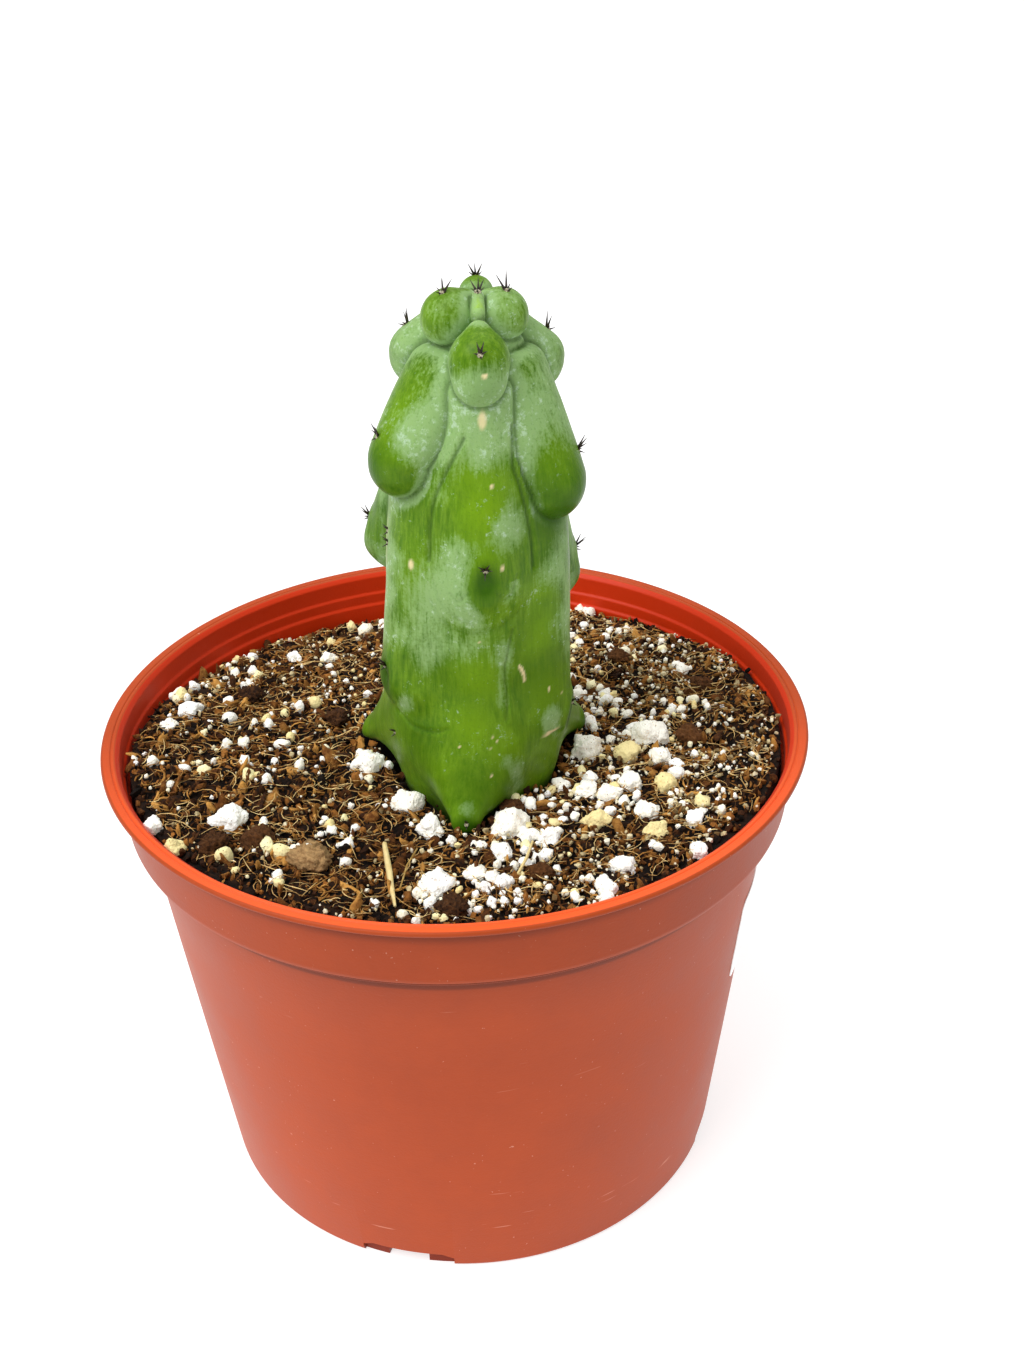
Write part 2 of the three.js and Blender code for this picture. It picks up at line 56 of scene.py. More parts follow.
# Pot
POT_HEIGHT = 143.0
RIM_R = 101.5
RIM_THICK = 1.5
BAND_TOP_R = 97.4
BAND_LOW_R = 96.1
BAND_LOW_Z = 122.7
WALL_TOP_R = 91.7
FOOT_R = 77.5
WALL_THICK = 1.4
FLOOR_LOW_Z = 5.0
FLOOR_TOP_Z = 6.8
FOOT_RING_IN_R = 73.2
RECESS_COUNT = 4
RECESS_AZ = -16.0
RECESS_HALF = 10.3
RECESS_HEIGHT = 4.9
RECESS_DEPTH = 1.5
SLOT_HALF = 4.6
SLOT_HEIGHT = 3.8
DRAIN_IN_R = 66.0

# Label
LABEL_AZ = (63.6, 100.4)
LABEL_Z = (69.8, 99.3)
LABEL_THICK = 0.25
LABEL_CORNER = 3.0

# Free space between the mix and the pot's wall and floor
GAP = 0.3

# Stem
STEM_X, STEM_Y = 5.85, -18.0
STEM_LEAN = 0.03
LEAN_FROM_Z = 137.0
FOOT_Z = 124.0
CROWN_Z = 258.0
STEM_R = 24.7
STEM_FULL_Z = (160.0, 190.0)
STEM_TOP_Z = 274.0
WAIST_DEPTH = 8.7
WAIST_SPAN = 38
FOOT_SWELL = 2.4
RIBS = 6
RIB_RELIEF = 0.03
# Lobes above the first height belong to the crown, and those above the second are rounded knobs
CROWN_LOBES_Z = 262
ROUND_LOBES_Z = 215

# Lobes, youngest first: azimuth, top (radius, height, girth), bulge (radius, height, girth),
# spread of top and bulge sideways, blend with what lies under it, and the azimuth and tilt in
# which its areole lies from the bulge's middle
LOBES = (
    (180, (3, 269, 3), (5.2, 271.4, 4.4), (1, 1), 0.6, (180, 72)),
    (0, (10.4, 271.4, 1.7), (6, 273.9, 1.6), (1, 1), 0.35, (0, 80)),
    (-60, (4.4, 269.6, 5.4), (7.8, 268.6, 7.2), (1, 1), 0.5, (-47, 70)),
    (60, (4.4, 269.6, 5.2), (6.5, 268.4, 6.9), (1, 1), 0.5, (47, 73)),
    (0, (12, 268.6, 2), (14.8, 262.2, 6.8), (1, 1), 1, None),
    (0, (15.2, 261, 7.2), (16.5, 256.4, 6.8), (1.05, 1), 0.4, (0, 70)),
    (-120, (11, 264, 4.5), (15.6, 255.8, 8.4), (1.6, 1), 0.5, (-95, 62)),
    (120, (11, 262.6, 4.5), (16.3, 253, 8.4), (1.6, 1), 0.5, (90, 62)),
    (-60, (11.4, 256, 6.6), (21.2, 234.6, 9.4), (2, 0.9), 0.5, (-80, 45)),
    (60, (11.2, 255, 6.6), (20.3, 226.8, 9.6), (2.1, 0.95), 0.5, (102, 46)),
    (180, (11.6, 255, 6), (21.2, 231, 9.4), (1.8, 0.95), 0.5, (180, 45)),
    (0, (15.2, 253, 5.8), (14.6, 203, 12.5), (1.55, 1.05), 2.4, (5, 33)),
    (-120, (15.5, 240, 5), (23.2, 203.8, 9.6), (1.5, 1), 1.2, (-100, 30)),
    (120, (15.5, 236, 5), (21, 192.3, 9.6), (1.5, 1), 1.2, (100, 30)),
    (-60, (15, 212, 9), (17.9, 173, 10), (1.2, 1.45), 2.5, (-72, 21)),
    (60, (15, 204, 9), (16.9, 162, 10), (1.2, 1.2), 2.5, (84, -2)),
    (180, (15, 210, 9), (18.2, 170, 10), (1.2, 1.3), 3, (180, 15)),
    (-8, (11, 160, 13.5), (33.8, 138.6, 2.3), (1.6, 1.2), 8, (10, 50)),
    (-118, (12, 156, 13.5), (34.8, 140, 2.2), (1.5, 1.3), 7, (-118, 40)),
    (118, (12, 156, 12.5), (32.5, 140.6, 3), (1.5, 1), 7, (118, 40)),
)

# Soil
SOIL_LEVEL = 138.8
SOIL_SINK_BACK = 11.0
SOIL_CROSS_TILT = 0.028
SOIL_ROUGH = 1.1
SOIL_R = 94.0
SEED = 20417

# Large perlite lumps: x, y, size across
BIG_LUMPS = (
    (-62, -43, 8.8), (-80, 21, 6.8), (-85, 11, 5), (-51, 57, 6.2), (-40, 56, 5), (-25, -21, 8.6),
    (-14, -40, 8.6), (-8, -53, 8), (-82, -45, 5.5), (37, -18, 8.8), (48, -20, 7.4), (55, -11, 11),
    (57, -23, 6.2), (35, -38, 6.2), (41, -40, 6.8), (47, -36, 6.2), (13, -54, 9), (23, -59, 6.8),
    (36.4, -51.8, 7), (50, -49, 6.2), (56.5, -37.2, 6.5), (62, -55, 5.5), (51.3, -58.6, 6.5), (41, -72, 6.8),
    (36, -81, 6.8), (10, -64, 5.5), (10, -77, 5), (3, -73, 5.5), (-7, -76, 8), (61, -69, 5),
    (-75.5, -55.5, 6),
)
# the lumps that are cream or yellow
YELLOW_LUMPS = (10, 18, 20, 22, 30)
# Matted clods: x, y, size across, tone
CLODS = (
    (-39, -63.5, 11, 0.8), (-53.5, -53.8, 9.5, 0.32), (-65, -55, 8, 0.25), (14, -45, 6.5, 0.3),
    (19.7, -73, 6.5, 0.35), (-3, -85.5, 9, 0.2), (67, -12.5, 8, 0.4), (30, 66, 8, 0.3), (52, 40, 7, 0.35),
    (-62, 30, 8, 0.15), (-35, 10, 7, 0.2), (75, 20, 7, 0.3), (-20, 70, 8, 0.25),
)


def linear(hex_colour):
    """An sRGB hex colour as a linear RGBA tuple."""
    value = int(hex_colour.lstrip("#"), 16)
    parts = [(value >> shift & 255) / 255 for shift in (16, 8, 0)]
    return tuple(c / 12.92 if c <= 0.04045 else ((c + 0.055) / 1.055) ** 2.4 for c in parts) + (1.0,)


def add(tree, kind, settings=None, inputs=None):
    """One node with its settings and its inputs: values, sockets, or nodes for their first output."""
    made = tree.nodes.new(kind)
    for key, value in (settings or {}).items():
        if key == "stops":
            ramp = made.color_ramp
            while len(ramp.elements) < len(value):
                ramp.elements.new(0.5)
            for element, (place, colour) in zip(ramp.elements, value):
                element.position = place
                element.color = colour
        else:
            setattr(made, key, value)
    for key, value in (inputs or {}).items():
        if isinstance(value, bpy.types.Node):
            value = value.outputs[0]
        socket = made.inputs[key]
        if isinstance(value, bpy.types.NodeSocket):
            tree.links.new(value, socket)
        else:
            socket.default_value = value
    return made


def new_finish(name):
    """A material with an empty node tree."""
    material = bpy.data.materials.new(name)
    material.use_nodes = True
    material.node_tree.nodes.clear()
    return material, material.node_tree


def settings():
    return bpy.context.scene.cactus_in_pot


# ---------------------------------------------------------------- surface formulas

def polar(azimuth, radius, height):
    """Points at azimuths in radians, counted from the front."""
    x, y = radius * np.sin(azimuth), -radius * np.cos(azimuth)
    return np.stack(np.broadcast_arrays(x, y, height), -1).astype(float)


def rib_point(azimuth, radius, height):
    """A point at an azimuth in degrees."""
    return polar(math.radians(azimuth), radius, height)


def body_radius(z):
    """Radius of the plain stem body at a height."""
    high = np.clip((z - STEM_FULL_Z[1]) / (STEM_TOP_Z - STEM_FULL_Z[1]), 0, 1)
    low = np.clip((STEM_FULL_Z[0] - z) / WAIST_SPAN, 0, None)
    waist = STEM_R - WAIST_DEPTH * low ** 2.2
    return np.where(z > STEM_FULL_Z[0], STEM_R * (1 - high ** 2.7) ** 0.68, waist)


def tapered_capsule(p, a, b, ra, rb):
    """Distance to a capsule that tapers from a to b."""
    ba = b - a
    l2 = ba @ ba
    rr = ra - rb
    a2 = l2 - rr * rr
    pa = p - a
    y = pa @ ba
    z = y - l2
    across = pa * l2 - y[:, None] * ba
    x2 = (across * across).sum(1)
    y2 = y * y * l2
    z2 = z * z * l2
    k = np.sign(rr) * rr * rr * x2
    side = (np.sqrt(x2 * a2 / l2) + y * rr) / l2 - ra
    far = np.sqrt(x2 + z2) / l2 - rb
    near = np.sqrt(x2 + y2) / l2 - ra
    return np.where(np.sign(z) * a2 * z2 > k, far, np.where(np.sign(y) * a2 * y2 < k, near, side))


def blend_min(a, b, k):
    """The smaller of two distances, blended where they differ by less than k."""
    h = np.clip(0.5 + 0.5 * (b - a) / k, 0, 1)
    return b * (1 - h) + a * h - k * h * (1 - h)


def stem_distances(p):
    """Distance to the plain body, then to each lobe, oldest first."""
    azimuth = np.arctan2(p[:, 0], -p[:, 1])
    away = np.hypot(p[:, 0], p[:, 1])
    radius = body_radius(p[:, 2]) * (1 + RIB_RELIEF * np.cos(RIBS * azimuth))
    # the base swells over the three feet
    radius = radius + FOOT_SWELL * np.exp(-((p[:, 2] - 138) / 9) ** 2) * (0.4 + 0.6 * np.cos(3 * azimuth))
    rows = [np.maximum((away - radius) * 0.9, p[:, 2] - STEM_TOP_Z)]
    for lobe_azimuth, top, bulge, spread, _, _ in reversed(LOBES):
        turn = (azimuth - math.radians(lobe_azimuth) + math.pi) % (2 * math.pi) - math.pi
        t = np.clip((p[:, 2] - bulge[1]) / (top[1] - bulge[1]), 0, 1)
        turn = turn / (spread[1] + (spread[0] - spread[1]) * t)
        inside = np.stack([away * np.cos(turn), away * np.sin(turn), p[:, 2]], 1)
        a, b = np.array([top[0], 0, top[1]], float), np.array([bulge[0], 0, bulge[1]], float)
        rows.append(tapered_capsule(inside, a, b, top[2], bulge[2]))
    return rows


def stem_field(p):
    rows = stem_distances(p)
    d = rows[0]
    for row, lobe in zip(rows[1:], reversed(LOBES)):
        d = blend_min(row, d, lobe[4])
    return d


def cast_on_stem(origin, direction):
    """Where rays from the axis leave the stem, found by stepping in from outside."""
    outside, most_steps, ease, near_enough = 44.0, 70, 0.78, 0.004
    t = np.full(len(origin), outside)
    left = np.arange(len(origin))
    for _ in range(most_steps):
        d = stem_field(origin[left] + direction[left] * t[left, None])
        t[left] -= np.clip(d * ease, -2, 7)
        left = left[np.abs(d) > near_enough]
        if not len(left):
            break
    return origin + direction * t[:, None]


def leaned(p):
    """Points of the upright stem, moved to its place in the pot and leaned."""
    q = np.array(p, float)
    q[..., 0] += STEM_X + STEM_LEAN * (q[..., 2] - LEAN_FROM_Z)
    q[..., 1] += STEM_Y
    return q


def stem_normal(p):
    steps = np.eye(3) * 0.15
    n = np.array([stem_field(p + s) - stem_field(p - s) for s in steps]).T
    return n / np.linalg.norm(n, axis=1)[:, None]


def make_random(seed):
    """Seeded random numbers between 0 and 1, the same ones as in the part's source."""
    word = 0xFFFFFFFF
    state = seed & word
    while True:
        state = (state + 0x6D2B79F5) & word
        t = state
        t = ((t ^ (t >> 15)) * (t | 1)) & word
        t ^= (t + (((t ^ (t >> 7)) * (t | 61)) & word)) & word
        yield ((t ^ (t >> 14)) & word) / (word + 1)


def make_relief(cell, seed):
    """Smooth random relief from a lattice of seeded heights."""
    size = math.ceil(2 * RIM_R / cell) + 2
    source = make_random(seed)
    lattice = np.array([next(source) for _ in range(size * size)]).reshape(size, size) * 2 - 1

    def relief(x, y):
        u, v = (x + RIM_R) / cell, (y + RIM_R) / cell
        i, j = np.floor(u).astype(int), np.floor(v).astype(int)
        s, t = u - i, v - j
        s, t = s * s * (3 - 2 * s), t * t * (3 - 2 * t)
        low = lattice[j, i] * (1 - s) + lattice[j, i + 1] * s
        high = lattice[j + 1, i] * (1 - s) + lattice[j + 1, i + 1] * s
        return low * (1 - t) + high * t

    return relief


coarse_relief = make_relief(17, SEED + 2)
fine_relief = make_relief(6, SEED + 3)
crumb_relief = make_relief(2.6, SEED + 5)
grit_relief = make_relief(1.2, SEED + 6)


def soil_height(x, y):
    back = np.clip((y + 25) / 115, 0, 1)
    level = SOIL_LEVEL + SOIL_CROSS_TILT * x * back - SOIL_SINK_BACK * back ** 1.5
    return level + SOIL_ROUGH * (coarse_relief(x, y) * 0.8 + fine_relief(x, y))


def stem_radius_at(azimuth):
    """The stem's widest radius at and just below the soil's surface, for azimuths in radians."""
    rows = []
    for z in np.arange(126.0, 143.0, 2.0):
        origin = np.zeros((len(azimuth), 3))
        origin[:, 2] = z
        rows.append(np.hypot(*cast_on_stem(origin, polar(azimuth, 1, 0))[:, :2].T))
    return np.max(rows, 0)


FOOT_TABLE_AZ = np.linspace(-math.pi, math.pi, 121)
FOOT_TABLE_R = stem_radius_at(FOOT_TABLE_AZ)


def room_round(x, y):
    """Free distance from the stem and from the pot's wall, in mm."""
    dx, dy = x - STEM_X, y - STEM_Y
    stem = np.hypot(dx, dy) - np.interp(np.arctan2(dx, -dy), FOOT_TABLE_AZ, FOOT_TABLE_R)
    return np.minimum(stem, SOIL_R - np.hypot(x, y))


def ground(x, y):
    """Height of the mix at one place."""
    return float(soil_height(np.array([x]), np.array([y]))[0])


# ---------------------------------------------------------------- mesh helpers

def place(name, data):
    """A new object of the scene."""
    made = bpy.data.objects.new(name, data)
    bpy.context.scene.collection.objects.link(made)
    return made


def mesh_piece(name, points, faces, smooth=True, edges=()):
    """A new object from points in mm."""
    mesh = bpy.data.meshes.new(name)
    mesh.from_pydata([tuple(p) for p in np.asarray(points, float) * MM], edges, faces)
    mesh.validate()
    if smooth:
        mesh.shade_smooth()
    return place(name, mesh)


def ball_mesh(level):
    """Directions and faces of an even ball."""
    ball = bmesh.new()
    bmesh.ops.create_icosphere(ball, subdivisions=level, radius=1.0)
    directions, faces = [v.co.copy() for v in ball.verts], [[v.index for v in f.verts] for f in ball.faces]
    ball.free()
    return directions, faces


def ring_skin(rings, low, high):
    """Points and faces of a closed skin from rings, low to high, with a middle point at each end."""
    rings = np.asarray(rings, float)
    count, across = rings.shape[:2]
    points = rings.reshape(-1, 3)
    i = np.arange(across)
    j = (i + 1) % across
    faces = []
    for k in range(count - 1):
        a, b = k * across + i, k * across + j
        faces.extend(np.stack([a, b, b + across, a + across], 1).tolist())
    total, top = len(points), (count - 1) * across
    faces.extend(np.stack([np.full(across, total), j, i], 1).tolist())
    faces.extend(np.stack([top + i, top + j, np.full(across, total + 1)], 1).tolist())
    return np.vstack([points, [low], [high]]), faces


def store(piece, name, values):
    """Keeps a value for each point in the piece's mesh."""
    attribute = piece.data.attributes.new(name, "FLOAT", "POINT")
    attribute.data.foreach_set("value", np.asarray(values, np.float32))


def settle(piece, slot, *nodes):
    """Rides the piece on the part and hides the part's pieces that it stands for."""
    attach(piece, "root")
    if nodes:
        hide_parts(*nodes)


def new_tree(name, *sockets):
    """A geometry tree with named inputs, each of a kind and a default, and the sockets they give."""
    tree = bpy.data.node_groups.new(name, "GeometryNodeTree")
    for label, kind, value in (("Geometry", "Geometry", None), *sockets):
        socket = tree.interface.new_socket(label, in_out="INPUT", socket_type="NodeSocket" + kind)
        if value is not None:
            socket.default_value = value
    tree.interface.new_socket("Geometry", in_out="OUTPUT", socket_type="NodeSocketGeometry")
    return tree, add(tree, "NodeGroupInput").outputs


def end_tree(tree, geometry, finish):
    """Ends a geometry tree in real geometry with its material."""
    real = add(tree, "GeometryNodeRealizeInstances", inputs={"Geometry": geometry})
    dressed = add(tree, "GeometryNodeSetMaterial", inputs={"Geometry": real, "Material": finish})
    add(tree, "NodeGroupOutput", inputs={"Geometry": dressed})
    return tree


def bake_nodes(piece, tree, values):
    """Runs a geometry tree on the piece and keeps the result as its plain mesh."""
    modifier = piece.modifiers.new(tree.name, "NODES")
    modifier.node_group = tree
    for item in tree.interface.items_tree:
        if item.item_type == "SOCKET" and item.in_out == "INPUT" and item.name in values:
            modifier[item.identifier] = values[item.name]
    graph = bpy.context.evaluated_depsgraph_get()
    graph.update()
    mesh = bpy.data.meshes.new_from_object(piece.evaluated_get(graph), depsgraph=graph)
    piece.modifiers.remove(modifier)
    old = piece.data
    piece.data = mesh
    bpy.data.meshes.remove(old)


# ---------------------------------------------------------------- finishes

# Painted shade in the corners under the rim and the band, and painted light low on the wall: height in mm,
# level
POT_PAINTED_SHADE = (
    (0.0, 1.12), (60.0, 1.03), (100.0, 1.0), (114.5, 0.92), (116.2, 0.86), (116.9, 0.45), (118.4, 0.45),
    (121.15, 0.95), (121.45, 1.0), (121.65, 0.42), (122.6, 0.36), (122.85, 1.0), (123.6, 0.87), (135.6, 0.87),
    (136.8, 0.72), (137.9, 0.55), (141.4, 0.52), (141.55, 0.95), (142.2, 0.85), (142.7, 1.0),
)


def pot_plastic():
    """Injection-moulded terracotta polypropylene: satin, with faint turning rings, dust and rubs."""
    material, tree = new_finish("Moulded terracotta polypropylene")
    where = add(tree, "ShaderNodeTexCoord").outputs["Object"]
    part = add(tree, "ShaderNodeSeparateXYZ", inputs={0: where})
    # cloudy tone, about 30 mm across, as pigment and handling leave it
    cloud = add(tree, "ShaderNodeTexNoise", inputs={
        "Vector": where, "Scale": 28.0, "Detail": 9.0, "Roughness": 0.72})
    tone = add(tree, "ShaderNodeValToRGB", {"stops": (
        (0.20, linear(settings().pot_dark)), (0.80, linear(settings().pot_light)))}, {"Fac": cloud})
    # single specks of dry dust, 0.3 to 0.8 mm
    speck = add(tree, "ShaderNodeTexNoise", inputs={"Vector": where, "Scale": 900.0, "Detail": 2.0})
    spread = add(tree, "ShaderNodeTexNoise", inputs={"Vector": where, "Scale": 30.0, "Detail": 3.0})
    both = add(tree, "ShaderNodeMath", {"operation": "MULTIPLY_ADD"}, {0: spread, 1: 0.15, 2: speck})
    dust = add(tree, "ShaderNodeMapRange", inputs={
        "Value": both, "From Min": 0.82, "From Max": 0.86, "To Min": 0.0, "To Max": 0.45})
    dusty = add(tree, "ShaderNodeMix", {"data_type": "RGBA"}, {0: dust, 6: tone, 7: linear("#e2b49c")})
    # rub marks: long shallow scratches, most of them near the foot
    stretch = add(tree, "ShaderNodeMapping", inputs={
        "Vector": where, "Scale": (60.0, 60.0, 700.0), "Rotation": (0.12, 0.1, 0.0)})
    scratch = add(tree, "ShaderNodeTexNoise", inputs={"Vector": stretch, "Scale": 1.0, "Detail": 2.0})
    rub = add(tree, "ShaderNodeMapRange", inputs={
        "Value": scratch, "From Min": 0.73, "From Max": 0.78, "To Min": 0.0, "To Max": 0.5})
    low = add(tree, "ShaderNodeMapRange", inputs={
        "Value": part.outputs["Z"], "From Min": 0.004, "From Max": 0.05, "To Min": 1.0, "To Max": 0.25})
    rubbed = add(tree, "ShaderNodeMath", {"operation": "MULTIPLY"}, {0: rub, 1: low})
    colour = add(tree, "ShaderNodeMix", {"data_type": "RGBA"}, {
        0: rubbed, 6: dusty.outputs[2], 7: linear("#e9a58b")})
    # painted shade in the corners under the rim and the band, and painted light low on the wall, by height
    height = add(tree, "ShaderNodeMath", {"operation": "MULTIPLY"}, {
        0: part.outputs["Z"], 1: 1 / (POT_HEIGHT * MM)})
    shades = [(z / POT_HEIGHT, (level, level, level, 1)) for z, level in POT_PAINTED_SHADE]
    corners = add(tree, "ShaderNodeValToRGB", {"stops": shades}, {"Fac": height})
    shade_painted = add(tree, "ShaderNodeMix", {"data_type": "RGBA", "blend_type": "MULTIPLY"}, {
        0: 1.0, 6: colour.outputs[2], 7: corners})
    # a painted highlight on the flat top of the rim, strongest at the front
    flat = add(tree, "ShaderNodeCombineXYZ", inputs={"X": part.outputs["X"], "Y": part.outputs["Y"]})
    away = add(tree, "ShaderNodeVectorMath", {"operation": "LENGTH"}, {0: flat})
    rim = add(tree, "ShaderNodeMapRange", inputs={
        "Value": part.outputs["Z"], "From Min": 0.1412, "From Max": 0.1424, "To Min": 0.0, "To Max": 1.0})
    land = add(tree, "ShaderNodeMapRange", inputs={
        "Value": away.outputs["Value"], "From Min": 0.1006, "From Max": 0.1010, "To Min": 1.0, "To Max": 0.0})
    front = add(tree, "ShaderNodeMapRange", inputs={
        "Value": part.outputs["Y"], "From Min": 0.0, "From Max": -0.08, "To Min": 0.10, "To Max": 0.95})
    edge = add(tree, "ShaderNodeMath", {"operation": "MULTIPLY"}, {0: rim, 1: land})
    rim_highlight = add(tree, "ShaderNodeMath", {"operation": "MULTIPLY"}, {0: edge, 1: front})
    bright = add(tree, "ShaderNodeMix", {"data_type": "RGBA"}, {
        0: rim_highlight, 6: shade_painted.outputs[2], 7: linear("#ff602a")})
    # painted shade: the inside is painted deeper in colour
    inner = add(tree, "ShaderNodeAttribute", {"attribute_name": "inner"})
    inside = add(tree, "ShaderNodeMix", {"data_type": "RGBA"}, {
        0: inner.outputs["Fac"], 6: bright.outputs[2], 7: linear("#d13203")})
    # painted shade on the set-back faces of the drain notches: darker
    taper = add(tree, "ShaderNodeMath", {"operation": "MULTIPLY_ADD"}, {
        0: part.outputs["Z"], 1: -0.1157, 2: away.outputs["Value"]})
    back = add(tree, "ShaderNodeMath", {"operation": "LESS_THAN"}, {0: taper, 1: 0.0771})
    foot = add(tree, "ShaderNodeMath", {"operation": "LESS_THAN"}, {0: part.outputs["Z"], 1: 0.0049})
    notch_shade = add(tree, "ShaderNodeMath", {"operation": "MULTIPLY"}, {0: back, 1: foot})
    notch_shaded = add(tree, "ShaderNodeMix", {"data_type": "RGBA"}, {
        0: notch_shade, 6: inside.outputs[2], 7: linear("#862a0a")})
    # turning rings of the mould, about 2.4 mm apart, and a fine etched grain
    rings = add(tree, "ShaderNodeTexWave", {"wave_type": "BANDS", "bands_direction": "Z"}, {
        "Vector": where, "Scale": 130.0, "Distortion": 0.6, "Detail": 1.0, "Detail Scale": 2.0})
    grain = add(tree, "ShaderNodeTexNoise", inputs={"Vector": where, "Scale": 1500.0, "Detail": 2.0})
    relief = add(tree, "ShaderNodeMath", {"operation": "MULTIPLY_ADD"}, {
        0: rings.outputs["Fac"], 1: 0.08, 2: grain})
    bump = add(tree, "ShaderNodeBump", inputs={"Strength": 0.25, "Distance": 0.0002, "Height": relief})
    rough = add(tree, "ShaderNodeMapRange", inputs={
        "Value": cloud, "From Min": 0.3, "From Max": 0.7, "To Min": 0.40, "To Max": 0.52})
    shader = add(tree, "ShaderNodeBsdfPrincipled", inputs={
        "Base Color": notch_shaded.outputs[2], "Roughness": rough, "Normal": bump,
        "IOR": 1.49, "Specular IOR Level": 0.22, "Sheen Weight": 0.03, "Sheen Roughness": 0.5})
    add(tree, "ShaderNodeOutputMaterial", inputs={"Surface": shader})
    return material


# What the skin's mesh tells its finish, each a value by point
SKIN_MARKS = ("bloom", "rubbed", "young", "seam", "bright", "scar")


def cactus_skin_finish():
    """Live waxy cactus skin: green, with a pale bloom that rubs off on the bulges, painted shade in its
    creases and darker places, and a painted highlight down its left edge.
    """
    material, tree = new_finish("Waxy cactus skin")
    where = add(tree, "ShaderNodeTexCoord").outputs["Object"]
    bloom, rubbed, young, seam, bright, scar = [
        add(tree, "ShaderNodeAttribute", {"attribute_name": name}).outputs["Fac"] for name in SKIN_MARKS]
    # long fine streaks along the stem, about 0.8 mm wide
    along = add(tree, "ShaderNodeMapping", inputs={"Vector": where, "Scale": (1.0, 1.0, 0.12)})
    streak = add(tree, "ShaderNodeTexNoise", inputs={
        "Vector": along, "Scale": 900.0, "Detail": 5.0, "Roughness": 0.7})
    # cloudy patches, about 8 mm
    cloud = add(tree, "ShaderNodeTexNoise", inputs={
        "Vector": where, "Scale": 85.0, "Detail": 7.0, "Roughness": 0.68, "Distortion": 0.5})
    fleck = add(tree, "ShaderNodeTexNoise", inputs={"Vector": where, "Scale": 1400.0, "Detail": 3.0})
    base = add(tree, "ShaderNodeValToRGB", {"stops": (
        (0.28, linear("#2f5a06")), (0.50, linear(settings().skin_green)), (0.74, linear("#76a21a")))}, {
        "Fac": cloud})
    streaked = add(tree, "ShaderNodeValToRGB", {"stops": (
        (0.35, linear("#356002")), (0.65, linear("#86aa2c")))}, {"Fac": streak})
    lined = add(tree, "ShaderNodeMix", {"data_type": "RGBA"}, {0: 0.40, 6: base, 7: streaked})
    lit = add(tree, "ShaderNodeMix", {"data_type": "RGBA"}, {
        0: bright, 6: lined.outputs[2], 7: linear("#729c06")})
    fresh = add(tree, "ShaderNodeMix", {"data_type": "RGBA"}, {
        0: young, 6: lit.outputs[2], 7: linear("#9cc440")})
    # the bloom breaks up into flecks and streaks
    ragged = add(tree, "ShaderNodeMath", {"operation": "MULTIPLY_ADD"}, {0: streak, 1: 0.9, 2: cloud})
    broken = add(tree, "ShaderNodeMath", {"operation": "MULTIPLY_ADD"}, {0: fleck, 1: 0.35, 2: ragged})
    lift = add(tree, "ShaderNodeMath", {"operation": "MULTIPLY_ADD"}, {0: bloom, 1: 0.95, 2: broken})
    wax = add(tree, "ShaderNodeMapRange", inputs={
        "Value": lift, "From Min": 1.32, "From Max": 1.78, "To Min": 0.0, "To Max": 0.82})
    waxed = add(tree, "ShaderNodeMix", {"data_type": "RGBA"}, {
        0: wax, 6: fresh.outputs[2], 7: linear(settings().bloom)})
    # flecks of bloom, 0.3 to 1 mm, thicker where the bloom is
    crumb = add(tree, "ShaderNodeTexNoise", inputs={
        "Vector": where, "Scale": 560.0, "Detail": 6.0, "Roughness": 0.75})
    clump = add(tree, "ShaderNodeMath", {"operation": "MULTIPLY_ADD"}, {0: cloud, 1: 0.55, 2: crumb})
    sheet = add(tree, "ShaderNodeMath", {"operation": "MULTIPLY_ADD"}, {0: bloom, 1: 0.10, 2: clump})
    spots = add(tree, "ShaderNodeMapRange", inputs={
        "Value": sheet, "From Min": 0.915, "From Max": 1.03, "To Min": 0.0, "To Max": 0.85})
    flecked = add(tree, "ShaderNodeMix", {"data_type": "RGBA"}, {
        0: spots, 6: waxed.outputs[2], 7: linear("#b3cfaa")})
    # darker pores, then rubbed places with painted shade, painted shade along the creases, and pale scars,
    # flakes and a painted highlight
    pore = add(tree, "ShaderNodeMapRange", inputs={
        "Value": fleck, "From Min": 0.34, "From Max": 0.44, "To Min": 0.22, "To Max": 0.0})
    pored = add(tree, "ShaderNodeMix", {"data_type": "RGBA"}, {
        0: pore, 6: flecked.outputs[2], 7: linear("#3d6a12")})
    dark = add(tree, "ShaderNodeMath", {"operation": "MULTIPLY"}, {0: rubbed, 1: 0.92})
    rubbed_and_shaded = add(tree, "ShaderNodeMix", {"data_type": "RGBA"}, {
        0: dark, 6: pored.outputs[2], 7: linear("#345c02")})
    crease_shaded = add(tree, "ShaderNodeMix", {"data_type": "RGBA"}, {
        0: seam, 6: rubbed_and_shaded.outputs[2], 7: linear("#27491a")})
    marked = add(tree, "ShaderNodeMix", {"data_type": "RGBA"}, {
        0: scar, 6: crease_shaded.outputs[2], 7: linear("#e6d6a4")})
    pores = add(tree, "ShaderNodeTexVoronoi", inputs={"Vector": where, "Scale": 1900.0})
    relief = add(tree, "ShaderNodeMath", {"operation": "MULTIPLY_ADD"}, {0: pores, 1: 0.25, 2: streak})
    bump = add(tree, "ShaderNodeBump", inputs={"Strength": 0.32, "Distance": 0.0003, "Height": relief})
    gloss = add(tree, "ShaderNodeMapRange", inputs={
        "Value": wax, "From Min": 0.0, "From Max": 0.8, "To Min": 0.33, "To Max": 0.58})
    shader = add(tree, "ShaderNodeBsdfPrincipled", inputs={
        "Base Color": marked.outputs[2], "Roughness": gloss, "Normal": bump,
        "IOR": 1.42, "Subsurface Weight": 0.08, "Subsurface Radius": (0.0015, 0.003, 0.0005),
        "Subsurface Scale": 0.8, "Specular IOR Level": 0.14, "Sheen Weight": 0.02, "Sheen Roughness": 0.5})
    add(tree, "ShaderNodeOutputMaterial", inputs={"Surface": shader})
    return material


